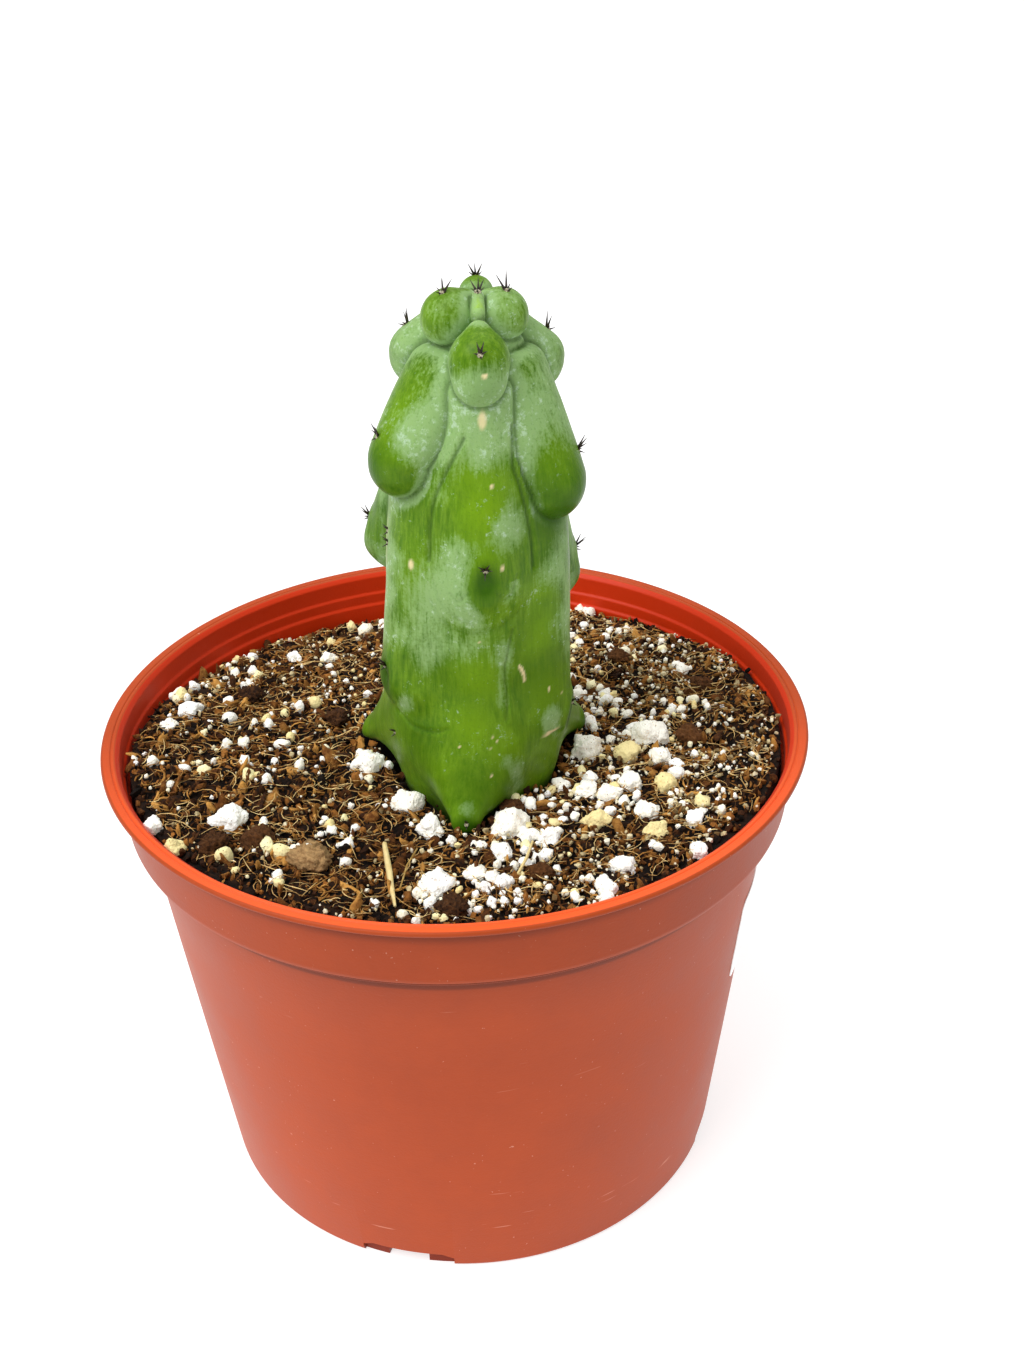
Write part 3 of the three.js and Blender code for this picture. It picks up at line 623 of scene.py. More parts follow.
def spine_horn():
    """Hard dead spine: near-black horn, browner in places, with a dull gloss."""
    material, tree = new_finish("Black spine horn")
    where = add(tree, "ShaderNodeTexCoord").outputs["Object"]
    mottled = add(tree, "ShaderNodeTexNoise", inputs={"Vector": where, "Scale": 1800.0, "Detail": 2.0})
    tone = add(tree, "ShaderNodeValToRGB", {"stops": (
        (0.4, linear("#0f0c0a")), (0.72, linear("#4a3526")))}, {"Fac": mottled})
    shader = add(tree, "ShaderNodeBsdfPrincipled", inputs={
        "Base Color": tone, "Roughness": 0.45, "IOR": 1.54})
    add(tree, "ShaderNodeOutputMaterial", inputs={"Surface": shader})
    return material


def areole_felt():
    """Short areole wool: pale grey-tan felt."""
    material, tree = new_finish("Areole wool felt")
    where = add(tree, "ShaderNodeTexCoord").outputs["Object"]
    tuft = add(tree, "ShaderNodeTexNoise", inputs={"Vector": where, "Scale": 2600.0, "Detail": 3.0})
    tone = add(tree, "ShaderNodeValToRGB", {"stops": (
        (0.35, linear("#4a4028")), (0.6, linear("#c9c2a2")))}, {"Fac": tuft})
    bump = add(tree, "ShaderNodeBump", inputs={"Strength": 0.8, "Distance": 0.0003, "Height": tuft})
    shader = add(tree, "ShaderNodeBsdfPrincipled", inputs={
        "Base Color": tone, "Roughness": 0.95, "Normal": bump,
        "Sheen Weight": 0.4, "Sheen Roughness": 0.5})
    add(tree, "ShaderNodeOutputMaterial", inputs={"Surface": shader})
    return material


def grain_finish(name, dark, middle, light, scale, bump_mm, rough=0.9):
    """A dry matte grain whose tone runs from dark to light by its own 'tone' and a fine mottle."""
    material, tree = new_finish(name)
    where = add(tree, "ShaderNodeTexCoord").outputs["Object"]
    tone = add(tree, "ShaderNodeAttribute", {"attribute_name": "tone"}).outputs["Fac"]
    mottle = add(tree, "ShaderNodeTexNoise", inputs={
        "Vector": where, "Scale": scale, "Detail": 5.0, "Roughness": 0.7})
    mixed = add(tree, "ShaderNodeMath", {"operation": "MULTIPLY_ADD"}, {0: mottle, 1: 0.9, 2: tone})
    eased = add(tree, "ShaderNodeMath", {"operation": "MULTIPLY"}, {0: mixed, 1: 0.68})
    ramp = add(tree, "ShaderNodeValToRGB", {"stops": (
        (0.35, linear(dark)), (0.62, linear(middle)), (0.98, linear(light)))}, {"Fac": eased})
    bump = add(tree, "ShaderNodeBump", inputs={"Strength": 0.9, "Distance": bump_mm * MM, "Height": mottle})
    shader = add(tree, "ShaderNodeBsdfPrincipled", inputs={
        "Base Color": ramp, "Roughness": rough, "Normal": bump, "IOR": 1.4,
        "Specular IOR Level": 0.3})
    add(tree, "ShaderNodeOutputMaterial", inputs={"Surface": shader})
    return material


def perlite_finish():
    """Expanded volcanic glass: chalk white, pitted, with a few cream and soil-stained grains."""
    material, tree = new_finish("Expanded perlite")
    where = add(tree, "ShaderNodeTexCoord").outputs["Object"]
    tone = add(tree, "ShaderNodeAttribute", {"attribute_name": "tone"}).outputs["Fac"]
    tint = add(tree, "ShaderNodeValToRGB", {"stops": (
        (0.0, linear("#fffefa")), (0.70, linear("#fdf9ea")),
        (0.84, linear("#f6ecb4")), (1.0, linear("#ecd695")))}, {"Fac": tone})
    stain = add(tree, "ShaderNodeTexNoise", inputs={
        "Vector": where, "Scale": 420.0, "Detail": 6.0, "Roughness": 0.75})
    soiled = add(tree, "ShaderNodeMapRange", inputs={
        "Value": stain, "From Min": 0.57, "From Max": 0.70, "To Min": 0.0, "To Max": 0.75})
    colour = add(tree, "ShaderNodeMix", {"data_type": "RGBA"}, {0: soiled, 6: tint, 7: linear("#b89460")})
    # dark pinholes of the burst glass, about 0.3 mm
    holes = add(tree, "ShaderNodeTexVoronoi", inputs={"Vector": where, "Scale": 720.0})
    pin = add(tree, "ShaderNodeMapRange", inputs={
        "Value": holes, "From Min": 0.08, "From Max": 0.20, "To Min": 0.7, "To Max": 0.0})
    pinned = add(tree, "ShaderNodeMix", {"data_type": "RGBA"}, {
        0: pin, 6: colour.outputs[2], 7: linear("#6b4a2a")})
    # its open bubbles, about 0.5 mm
    pits = add(tree, "ShaderNodeTexVoronoi", {"feature": "SMOOTH_F1"}, {
        "Vector": where, "Scale": 1500.0, "Smoothness": 0.4})
    bump = add(tree, "ShaderNodeBump", inputs={"Strength": 0.6, "Distance": 0.0004, "Height": pits})
    # painted light: the grains glow a little, to stay chalk white in shade
    shader = add(tree, "ShaderNodeBsdfPrincipled", inputs={
        "Base Color": pinned.outputs[2], "Roughness": 0.85, "Normal": bump, "IOR": 1.5,
        "Specular IOR Level": 0.5, "Emission Color": pinned.outputs[2], "Emission Strength": 0.12})
    add(tree, "ShaderNodeOutputMaterial", inputs={"Surface": shader})
    return material


def label_paper():
    """Coated white label paper: smooth, faintly fibrous, a little soil on it."""
    material, tree = new_finish("Coated white label paper")
    where = add(tree, "ShaderNodeTexCoord").outputs["Object"]
    fibre = add(tree, "ShaderNodeTexNoise", inputs={"Vector": where, "Scale": 700.0, "Detail": 5.0})
    smudge = add(tree, "ShaderNodeTexNoise", inputs={"Vector": where, "Scale": 120.0, "Detail": 4.0})
    faint = add(tree, "ShaderNodeMapRange", inputs={
        "Value": smudge, "From Min": 0.58, "From Max": 0.75, "To Min": 0.0, "To Max": 0.25})
    tone = add(tree, "ShaderNodeValToRGB", {"stops": (
        (0.3, linear("#f8f8f6")), (0.7, linear("#fefefe")))}, {"Fac": fibre})
    colour = add(tree, "ShaderNodeMix", {"data_type": "RGBA"}, {0: faint, 6: tone, 7: linear("#c9c7b6")})
    bump = add(tree, "ShaderNodeBump", inputs={"Strength": 0.1, "Distance": 0.0001, "Height": fibre})
    # painted light: the paper glows a little, to read pure white
    shader = add(tree, "ShaderNodeBsdfPrincipled", inputs={
        "Base Color": colour.outputs[2], "Roughness": 0.42, "Normal": bump, "IOR": 1.5,
        "Emission Color": colour.outputs[2], "Emission Strength": 0.15})
    add(tree, "ShaderNodeOutputMaterial", inputs={"Surface": shader})
    return material


def floor_finish():
    """White acrylic of a light table: an even white ground that keeps only a faint soft shadow."""
    material, tree = new_finish("Backlit white acrylic")
    where = add(tree, "ShaderNodeTexCoord").outputs["Object"]
    even = add(tree, "ShaderNodeTexNoise", inputs={"Vector": where, "Scale": 3.0, "Detail": 1.0})
    tone = add(tree, "ShaderNodeValToRGB", {"stops": (
        (0.0, linear("#b9b9b9")), (1.0, linear("#bdbdbd")))}, {"Fac": even})
    shader = add(tree, "ShaderNodeBsdfPrincipled", inputs={
        "Base Color": tone, "Roughness": 0.9, "Specular IOR Level": 0.1,
        "Emission Color": (1, 1, 1, 1), "Emission Strength": 0.68})
    add(tree, "ShaderNodeOutputMaterial", inputs={"Surface": shader})
    return material


# ---------------------------------------------------------------- pot and label

def wall_radius(z):
    """Outer radius of the pot's tapering wall."""
    return FOOT_R + (WALL_TOP_R - FOOT_R) * z / BAND_LOW_Z


def rounded(profile, radius, steps):
    """The profile with each inner corner rounded."""
    made = [profile[0]]
    for before, here, after in zip(profile, profile[1:], profile[2:]):
        here_v, a, b = Vector(here), Vector(before), Vector(after)
        to_a, to_b = a - here_v, b - here_v
        reach = min(radius, to_a.length * 0.45, to_b.length * 0.45)
        p, q = here_v + to_a.normalized() * reach, here_v + to_b.normalized() * reach
        for k in range(steps + 1):
            t = k / steps
            made.append(tuple(p * (1 - t) ** 2 + here_v * 2 * t * (1 - t) + q * t * t))
    made.append(profile[-1])
    return made


POT_OUTSIDE = [
    (FOOT_RING_IN_R, FLOOR_LOW_Z), (FOOT_RING_IN_R + 0.4, 0), (FOOT_R - 0.7, 0), (FOOT_R, 0.9),
    (wall_radius(40), 40), (wall_radius(80), 80), (wall_radius(121.0), 121.0), (95.0, 121.3), (95.0, 122.5),
    (BAND_LOW_R, BAND_LOW_Z), (BAND_LOW_R + 0.35, BAND_LOW_Z + 1.2),
    (BAND_TOP_R, POT_HEIGHT - RIM_THICK - 0.8), (BAND_TOP_R + 0.8, POT_HEIGHT - RIM_THICK),
    (RIM_R - 0.3, POT_HEIGHT - RIM_THICK), (RIM_R, POT_HEIGHT - RIM_THICK + 0.4), (RIM_R, POT_HEIGHT - 0.45),
    (RIM_R - 0.5, POT_HEIGHT), (98.95, POT_HEIGHT), (98.6, POT_HEIGHT - 0.4), (98.3, POT_HEIGHT),
    (97.8, POT_HEIGHT),
]
POT_INSIDE = [
    (wall_radius(FLOOR_TOP_Z) - WALL_THICK - 1.6, FLOOR_TOP_Z),
    (wall_radius(FLOOR_TOP_Z) - WALL_THICK, FLOOR_TOP_Z + 1.8), (wall_radius(60) - WALL_THICK, 60),
    (wall_radius(119.5) - WALL_THICK, 119.5), (94.1, 122.6), (94.5, 132.0), (95.2, 132.8),
    (95.3, 135.8), (96.0, 136.5), (96.3, 141.6), (97.3, 142.7),
]


def recess_cutter(azimuth, half, r_in, r_out, height, corner=0.0):
    """A closed wedge of a ring, from below the foot up to a height."""
    a = np.radians(np.linspace(azimuth - half, azimuth + half, 9))
    lift = np.full(9, height)
    lift[[0, -1]] -= corner
    rings = np.stack([polar(a, r, z) for r, z in ((r_in, -2), (r_out, -2), (r_out, lift), (r_in, lift))], 1)
    points, faces = ring_skin(rings, rings[0].mean(0), rings[-1].mean(0))
    return mesh_piece("cutter", points, faces, smooth=False)


def recalc_normals(piece):
    made = bmesh.new()
    made.from_mesh(piece.data)
    bmesh.ops.recalc_face_normals(made, faces=made.faces)
    made.to_mesh(piece.data)
    made.free()


def cut(piece, cutters):
    """Cuts the pieces in turn out of the piece and removes them."""
    for cutter in cutters:
        recalc_normals(cutter)
        modifier = piece.modifiers.new("cut", "BOOLEAN")
        modifier.operation = "DIFFERENCE"
        modifier.solver = "EXACT"
        modifier.object = cutter
        graph = bpy.context.evaluated_depsgraph_get()
        mesh = bpy.data.meshes.new_from_object(piece.evaluated_get(graph), depsgraph=graph)
        piece.modifiers.remove(modifier)
        piece.data = mesh
        bpy.data.objects.remove(cutter)


INNER_STEP_Z = 121.9
# Limits of the inside above that step: height, radius
UPPER_INSIDE = ((122.0, 94.6), (132.0, 95.4), (136.5, 96.4), (141.6, 96.9), (142.9, 97.5))


def store_inner(pot):
    """Marks the points of the pot's inside, painted deeper in colour as shade."""
    points = np.empty(len(pot.data.vertices) * 3, np.float32)
    pot.data.vertices.foreach_get("co", points)
    x, y, z = points.reshape(-1, 3).T / MM
    away = np.hypot(x, y)
    low = (z < INNER_STEP_Z) & (z > 6) & (away < wall_radius(z) - 0.6)
    high = (z >= INNER_STEP_Z) & (away < np.interp(z, *zip(*UPPER_INSIDE)))
    store(pot, "inner", low | high)


def build_pot():
    segments = 256
    a = np.linspace(0, 2 * math.pi, segments, endpoint=False)
    rings = [polar(a, r, z) for r, z in rounded(POT_OUTSIDE + POT_INSIDE[::-1], 0.35, 3)]
    points, faces = ring_skin(rings, (0, 0, FLOOR_LOW_Z), (0, 0, FLOOR_TOP_Z))
    pot = mesh_piece("Pot_shell", points, faces)
    recalc_normals(pot)
    cutters = []
    for k in range(RECESS_COUNT):
        azimuth = RECESS_AZ + 360 * k / RECESS_COUNT
        # the recess, the slot through the foot ring and the drain hole in the floor behind it
        for sizes in ((RECESS_HALF, FOOT_R - RECESS_DEPTH, FOOT_R + 4, RECESS_HEIGHT, 1.6),
                      (SLOT_HALF, FOOT_RING_IN_R - 2, FOOT_R, SLOT_HEIGHT),
                      (SLOT_HALF, DRAIN_IN_R, FOOT_RING_IN_R - 0.6, FLOOR_TOP_Z + 4)):
            cutters.append(recess_cutter(azimuth, *sizes))
    cut(pot, cutters)
    pot.data.shade_smooth()
    pot.data.set_sharp_from_angle(angle=math.radians(35))
    store_inner(pot)
    pot.data.materials.clear()
    pot.data.materials.append(pot_plastic())
    settle(pot, "pot", "pot")


def build_label():
    """The blank label, bent round the wall, one lower corner lifting a little."""
    columns, rows = 48, 10
    half, middle = (LABEL_Z[1] - LABEL_Z[0]) / 2, (LABEL_Z[1] + LABEL_Z[0]) / 2
    width = math.radians(LABEL_AZ[1] - LABEL_AZ[0]) * wall_radius(middle)
    rings = []
    for k in range(columns + 1):
        u = 0.5 - 0.5 * math.cos(math.pi * k / columns)
        edge = min(u, 1 - u) * width
        inside = max(0.0, LABEL_CORNER - edge)
        drop = LABEL_CORNER - math.sqrt(max(0.0, LABEL_CORNER ** 2 - inside ** 2))
        a = math.radians(LABEL_AZ[0] + (LABEL_AZ[1] - LABEL_AZ[0]) * u)
        low, high = middle - half + drop, middle + half - drop
        ring = []
        for side, order in ((0.0, range(rows, -1, -1)), (LABEL_THICK, range(rows + 1))):
            for m in order:
                z = low + (high - low) * m / rows
                # one lower corner lifts, and the paper lies a little uneven
                curl = 0.45 * max(0.0, 1 - (1 - u) * width / 6) * max(0.0, 1 - (z - LABEL_Z[0]) / 6)
                wave = 0.02 * math.sin(u * 17 + z * 0.7)
                r = wall_radius(z) + 0.06 + side + curl + wave
                ring.append((r * math.sin(a), -r * math.cos(a), z))
        rings.append(ring)
    rings = np.array(rings)
    points, faces = ring_skin(rings, rings[0].mean(0), rings[-1].mean(0))
    label = mesh_piece("Blank_label", points, faces)
    recalc_normals(label)
    label.data.set_sharp_from_angle(angle=math.radians(40))
    label.data.materials.append(label_paper())
    settle(label, "label", "label")


# ---------------------------------------------------------------- cactus

# Fine folds and cracks in the skin: depth, half width, then (azimuth, height) along each
FOLDS = (
    (0.60, 0.60, ((-10.5, 244), (-13, 242), (-17, 239), (-21.6, 235.4), (-27.5, 230.7), (-30.3, 227.9),
                  (-32.5, 224.2), (-33.2, 219.4), (-33.2, 211))),
    (0.55, 0.55, ((23, 246), (22.4, 242.5), (21.6, 236), (26.2, 230.5), (29.8, 224.7), (33.2, 217.2),
                  (34.5, 208))),
    (0.34, 0.42, ((19.7, 192), (18, 189), (16.4, 185.7), (14.4, 181.5), (15.2, 176), (16.4, 171.8),
                  (15, 166))),
    (0.24, 0.50, ((-57, 164.5), (-50.7, 163.5), (-45, 162.1), (-34.6, 162), (-25.5, 162.6), (-20, 164))),
    (0.10, 0.90, ((-32.2, 200.4), (-24.9, 195.2), (-16.1, 193), (-2.5, 192.6), (11.5, 193.9), (24.2, 197.3))),
    (0.12, 0.45, ((-30, 206), (-24, 200), (-14, 196.5), (-4, 195))),
    (0.22, 0.40, ((8, 205), (13, 202), (18, 203.5), (22, 208))),
    (0.20, 0.40, ((-7, 205), (-13, 202), (-18, 204))),
    (0.35, 0.50, ((44, 158), (50, 156.5), (58, 156))),
)
# Pale bloom patches, and a painted highlight down the left edge at azimuth -77: azimuth, height, size,
# strength
BLOOM_AND_HIGHLIGHT_PATCHES = (
    (-25, 201, 8, 0.55), (-38, 193, 9, 0.5), (16, 228, 4, 0.4), (20, 222, 6, 0.6), (9, 222, 4, 0.4),
    (-8, 190, 5, 0.35), (46.5, 161.5, 4.5, 1.25), (-9, 145, 3, 0.5), (-45, 166, 6, 0.4), (15, 185, 4, 0.6),
    (14, 178, 4, 0.6), (13, 171, 4, 0.6), (12, 164, 3, 0.6), (13, 155, 3.5, 0.7), (20, 150, 3.5, 0.7),
    (24, 144, 4, 0.7), (-30, 148, 6, 0.5), (-5, 146, 3, 0.7), (-6, 141, 3, 0.7), (-34, 247, 7, 0.45),
    (42, 205, 6, 0.4), (50, 214, 6, 0.5), (58, 203, 6, 0.6), (60, 190, 6, 0.4), (-68, 209, 5, 0.8),
    (-62, 199, 4, 0.5), (4, 255, 6, 0.5), (0, 248, 7, 0.5), (-30, 240, 5, 0.5), (-60, 226, 6, 0.7),
    (-44, 246, 5, 0.5), (60, 214, 5, 0.5), (-75, 190, 9, 0.3), (70, 182, 8, 0.2), (-14, 214, 5, 0.35),
    (150, 190, 12, 0.5), (-150, 200, 12, 0.5), (170, 225, 10, 0.4), (-130, 170, 9, 0.4), (-77, 186, 5, 1.0),
    (-77, 195, 5, 1.0), (-77, 204, 5, 1.0), (-77, 212, 5, 0.8), (-60, 270, 7, -0.3), (60, 270, 7, -0.2),
    (-30, 185, 7, 0.45), (-12, 206, 5, 0.45), (-5, 199, 4, 0.5), (3, 229, 8, -0.7), (0, 176, 12, -0.3),
    (0, 160, 12, -0.3), (30, 175, 10, -0.3), (-35, 262, 5, 0.3), (32, 262, 5, 0.3), (0, 258, 6, 0.55),
    (-22, 249, 6, 0.4), (28, 246, 6, 0.4), (0, 240, 5, 0.4),
)
# Deeper green places: where the bloom has rubbed off, and painted shade low on the lobes and at the sides
RUBBED_AND_SHADED_PATCHES = (
    (50, 221, 9, 1.1), (42, 228, 8, 0.75), (-52, 231, 6, 0.45), (40, 176, 9, 0.5), (-2, 148, 9, 0.5),
    (-40, 158, 8, 0.45), (-10, 262, 6, 0.15), (26, 190, 7, 0.3), (-22, 178, 7, 0.3), (-6, 173, 6, 0.25),
    (12, 252, 5, 0.1), (100, 180, 12, 0.5), (-100, 210, 10, 0.4), (180, 205, 12, 0.4), (140, 240, 8, 0.5),
)
# Sunnier yellow-green places
BRIGHT_PATCHES = (
    (0, 178, 9, 0.7), (-4, 166, 8, 0.8), (14, 158, 9, 0.6), (38, 188, 8, 0.8), (42, 172, 8, 0.8),
    (42, 202, 6, 0.5), (2, 226, 9, 0.9), (-6, 236, 8, 0.6), (4, 214, 6, 0.6), (-20, 152, 9, 0.4),
    (-40, 205, 8, 0.6), (-52, 245, 8, 0.6), (50, 238, 8, 0.5), (160, 180, 12, 0.6), (-160, 165, 12, 0.6),
    (110, 175, 9, 0.5), (-110, 180, 9, 0.5), (45, 150, 8, 0.5), (180, 245, 8, 0.6),
)
# A painted highlight, a paler strip down the left edge: azimuth, height
HIGHLIGHT_STRIP = ((-79, 214), (-80, 172))
# Corky or nicked marks: azimuth, height, half width, half height
SCARS = (
    (2.6, 260.1, 0.8, 0.55), (6.5, 232.2, 0.5, 0.5), (-45, 209.1, 0.75, 1.5), (11.6, 210.9, 0.45, 0.9),
    (24.4, 180.6, 0.4, 0.6), (25.4, 180.0, 0.5, 0.7), (26.4, 179.2, 0.55, 0.8), (27.3, 178.2, 0.55, 0.8),
    (28.0, 177.1, 0.5, 0.8), (28.4, 176.0, 0.4, 0.7), (47, 157.3, 3.4, 0.6), (45, 171.1, 0.35, 0.8),
    (55.3, 168.2, 0.35, 0.5), (88, 200, 0.7, 1.4), (-150, 185, 0.8, 1.0), (165, 215, 0.7, 0.7),
    (-100, 160, 1.4, 0.5), (-12, 160, 0.3, 0.3), (5, 152, 0.25, 0.4),
)
PALE_FLAKES = (
    (1.3, 248.6, 1.3, 2.8), (5.7, 162.5, 0.5, 0.45), (4.4, 159.6, 0.5, 0.4), (8.5, 160.9, 0.45, 0.4),
    (-0.8, 190.3, 0.45, 0.4),
)


def unrolled(p):
    """Azimuth in degrees and distance from the axis of each point, for the marks."""
    azimuth = np.degrees(np.arctan2(p[:, 0], -p[:, 1]))
    return azimuth, np.hypot(p[:, 0], p[:, 1])


def patch(p, azimuth, height, size_a, size_z):
    """1 at a mark's middle, falling to 0 at its edge, measured on the skin."""
    az, radius = unrolled(p)
    turn = np.radians((az - azimuth + 180) % 360 - 180) * radius
    return np.exp(-((turn / size_a) ** 2 + ((p[:, 2] - height) / size_z) ** 2))


def patches(p, table, narrow=0.8):
    """One row for each patch of a table of azimuth, height, size and strength."""
    return [strength * patch(p, azimuth, height, size * narrow, size)
            for azimuth, height, size, strength in table]


def spot(p, middle, size, stretch=(1, 1, 1)):
    """1 at a point, falling off round it like a bell of the given size."""
    return bell(np.linalg.norm((p - middle) * np.array(stretch), axis=1), size)


def bell(distance, size, middle=0.0):
    return np.exp(-((distance - middle) / size) ** 2)


def line_distance(p, line):
    """Distance in the unrolled skin to a polyline of (azimuth, height)."""
    az, radius = unrolled(p)
    best = np.full(len(p), 1e3)
    for (a0, z0), (a1, z1) in zip(line, line[1:]):
        scale = np.radians(1) * radius
        x, y = (az - a0) * scale, p[:, 2] - z0
        dx, dy = (a1 - a0) * scale, z1 - z0
        t = np.clip((x * dx + y * dy) / (dx * dx + dy * dy + 1e-9), 0, 1)
        best = np.minimum(best, np.hypot(x - t * dx, y - t * dy))
    return best


def skin_noise(p, scale, seed):
    """Smooth noise from a few seeded plane waves, cheap over many points."""
    waves = 7
    source = make_random(seed)
    total = 0
    for _ in range(waves):
        turn = np.array([next(source) * 2 - 1 for _ in range(3)])
        turn /= np.linalg.norm(turn)
        total = total + np.sin(p @ turn * scale * (0.7 + 0.8 * next(source)) + 6.28 * next(source))
    return total / waves


def skin_points():
    """Rows of points round the stem up to the crown, then over it, and the end points."""
    columns, spacing, crown = ((296, 0.58, 62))
    levels = np.arange(FOOT_Z, CROWN_Z + 0.01, spacing)
    heights = np.concatenate([levels, np.full(crown - 1, levels[-1])])
    rises = np.concatenate([np.zeros(len(levels)), np.linspace(0, math.pi / 2, crown + 1)[1:-1]])
    turns = np.linspace(0, 2 * math.pi, columns, endpoint=False)
    rise, turn = np.meshgrid(rises, turns, indexing="ij")
    origin = np.zeros((rise.size, 3))
    origin[:, 2] = np.repeat(heights, columns)
    direction = polar(turn, np.cos(rise), np.sin(rise)).reshape(-1, 3)
    tip = cast_on_stem(np.array([[0, 0, levels[-1]]], float), np.array([[0, 0, 1.0]]))
    low = np.array([[0, 0, FOOT_Z]], float)
    return np.vstack([cast_on_stem(origin, direction), low, tip]), len(heights), columns


def lobe_gap(p):
    """How much nearer each point is to its lobe than to the next, and how sharply the two meet."""
    rows = stem_distances(p)
    merged, soft = [rows[0]], [0.0]
    for row, lobe in zip(rows[1:], reversed(LOBES)):
        if lobe[5] is None:
            merged[-1] = np.minimum(merged[-1], row)
        else:
            merged.append(row)
            soft.append(lobe[4])
    merged, soft = np.array(merged), np.array(soft)
    rank = np.argsort(merged, 0)[:2]
    near, second = np.take_along_axis(merged, rank, 0)
    return second - near, np.clip(1.3 - 0.75 * soft[rank.max(0)], 0, 1)


def old_areoles(p):
    """Relief, darker places of rubbed bloom and painted shade below the lobes and round the pits, and arcs of
    bloom round the lobes' areoles.
    """
    move, rubbed, arcs = np.zeros((3, len(p)))
    for azimuth, _, bulge, _, _, aim in LOBES:
        if aim is None or bulge[1] > CROWN_LOBES_Z:
            continue
        out = rib_point(aim[0], math.cos(math.radians(aim[1])), math.sin(math.radians(aim[1])))
        middle = rib_point(azimuth, *bulge[:2])
        if bulge[1] > ROUND_LOBES_Z:
            below = middle + rib_point(azimuth, 0.8, 0.05) * bulge[2]
            rubbed_and_shaded = 0.85 if bulge[1] < 250 else 0.3
            rubbed = np.maximum(rubbed, rubbed_and_shaded * spot(p, below, bulge[2] * 0.72, (1, 1, 0.9)))
        else:
            pit = middle + out * bulge[2] + np.array([0, 0, -3.0])
            d = np.linalg.norm((p - pit) * np.array([1, 1, 0.62]), axis=1)
            move += 0.55 * bell(d, 1.6, 3.6) - 0.75 * bell(d, 1.4)
            rubbed = np.maximum(rubbed, 1.9 * bell(d, 3.1))
            ragged = np.clip(0.5 + 1.4 * skin_noise(p, 0.5, SEED + 17), 0, 1)
            arcs += 0.45 * ragged * bell(d, 2.0, 7.5) * (p[:, 2] < pit[2])
    return move, rubbed, arcs


def build_cactus_skin():
    p, rows, columns = skin_points()
    apart, tight = lobe_gap(p)
    normal = stem_normal(p)
    # relief: creases where lobes meet, folds, slight unevenness, swollen scars and the old areoles
    move = -0.45 * bell(apart, 0.55) * tight
    for depth, half, line in FOLDS:
        d = line_distance(p, line)
        move += depth * (0.3 * bell(d, half * 1.4, half * 2.4) - bell(np.minimum(d, 9), half))
    move += 0.16 * skin_noise(p, 0.35, SEED + 11) + 0.07 * skin_noise(p, 1.1, SEED + 12)
    scars, flakes = [np.array([patch(p, *mark) for mark in table]) for table in (SCARS, PALE_FLAKES)]
    move += 0.18 * scars.sum(0)
    scar = np.clip(scars * 2.2 - 0.5, 0, 1).max(0)
    flakes_and_highlight = np.maximum(np.clip(flakes * 3 - 1.2, 0, 1).max(0), 0.4 * bell(line_distance(p, HIGHLIGHT_STRIP), 3.4))
    dimples, rubbed, arcs = old_areoles(p)
    p = p + normal * (move + dimples)[:, None]

    # bloom: drifting, thick beside the creases, towards the top and at the listed places, with a painted
    # highlight down the left edge
    bloom = 0.14 + 0.45 * skin_noise(p, 0.16, SEED + 13) + 0.25 * skin_noise(p, 0.42, SEED + 14)
    bloom += 0.75 * bell(apart, 1.3, 1.2) * tight
    bloom += 0.12 * np.clip((p[:, 2] - 215) / 30, 0, 1) - 0.4 * np.clip((180 - p[:, 2]) / 30, 0, 1)
    bloom += sum(patches(p, BLOOM_AND_HIGHLIGHT_PATCHES))
    # the outer crown lobes are the most bloomed
    for azimuth, height in ((-120, 257), (120, 254)):
        bloom += 0.45 * spot(p, rib_point(azimuth, 20, height), 11)
    # rubbed bloom and painted shade, from the old areoles and the listed dark places
    rubbed = np.maximum.reduce([rubbed, *patches(p, RUBBED_AND_SHADED_PATCHES, 0.85)])
    bloom += arcs - rubbed * 0.7
    foot = 0.5 * np.clip((172 - p[:, 2]) / 30, 0, 1) * (0.7 + 0.5 * skin_noise(p, 0.3, SEED + 15))
    bright = np.maximum.reduce([0 * foot, foot, *patches(p, BRIGHT_PATCHES)])
    young = 0.12 * np.clip((p[:, 2] - CROWN_LOBES_Z) / 12, 0, 1)
    young = np.maximum(young, 0.95 * spot(p, rib_point(0, 10.5, 273), 3.6))
    # painted shade along the creases between the lobes and along the folds
    crease_shades = [0.6 * bell(apart, 0.4) * tight]
    for depth, half, line in FOLDS:
        crease_shades.append(min(0.55, depth * 1.1) * bell(line_distance(p, line), half * 0.7))

    points, faces = ring_skin(p[:-2].reshape(rows, columns, 3), *p[-2:])
    skin = mesh_piece("Cactus_skin", leaned(points), faces)
    recalc_normals(skin)
    # the scar mark also carries the pale flakes and the painted highlight down the left edge
    marks = (bloom, rubbed, young, np.max(crease_shades, 0), bright, np.maximum(scar, flakes_and_highlight * 0.8))
    for name, values in zip(SKIN_MARKS, marks):
        store(skin, name, np.clip(values, 0, 1.6))
    skin.data.materials.append(cactus_skin_finish())
    settle(skin, "cactus", "cactus")


# Small old areoles beside the ribs: azimuth, height
SIDE_AREOLES = ((-73, 214.6), (-71, 211.5), (-61.6, 156.4))


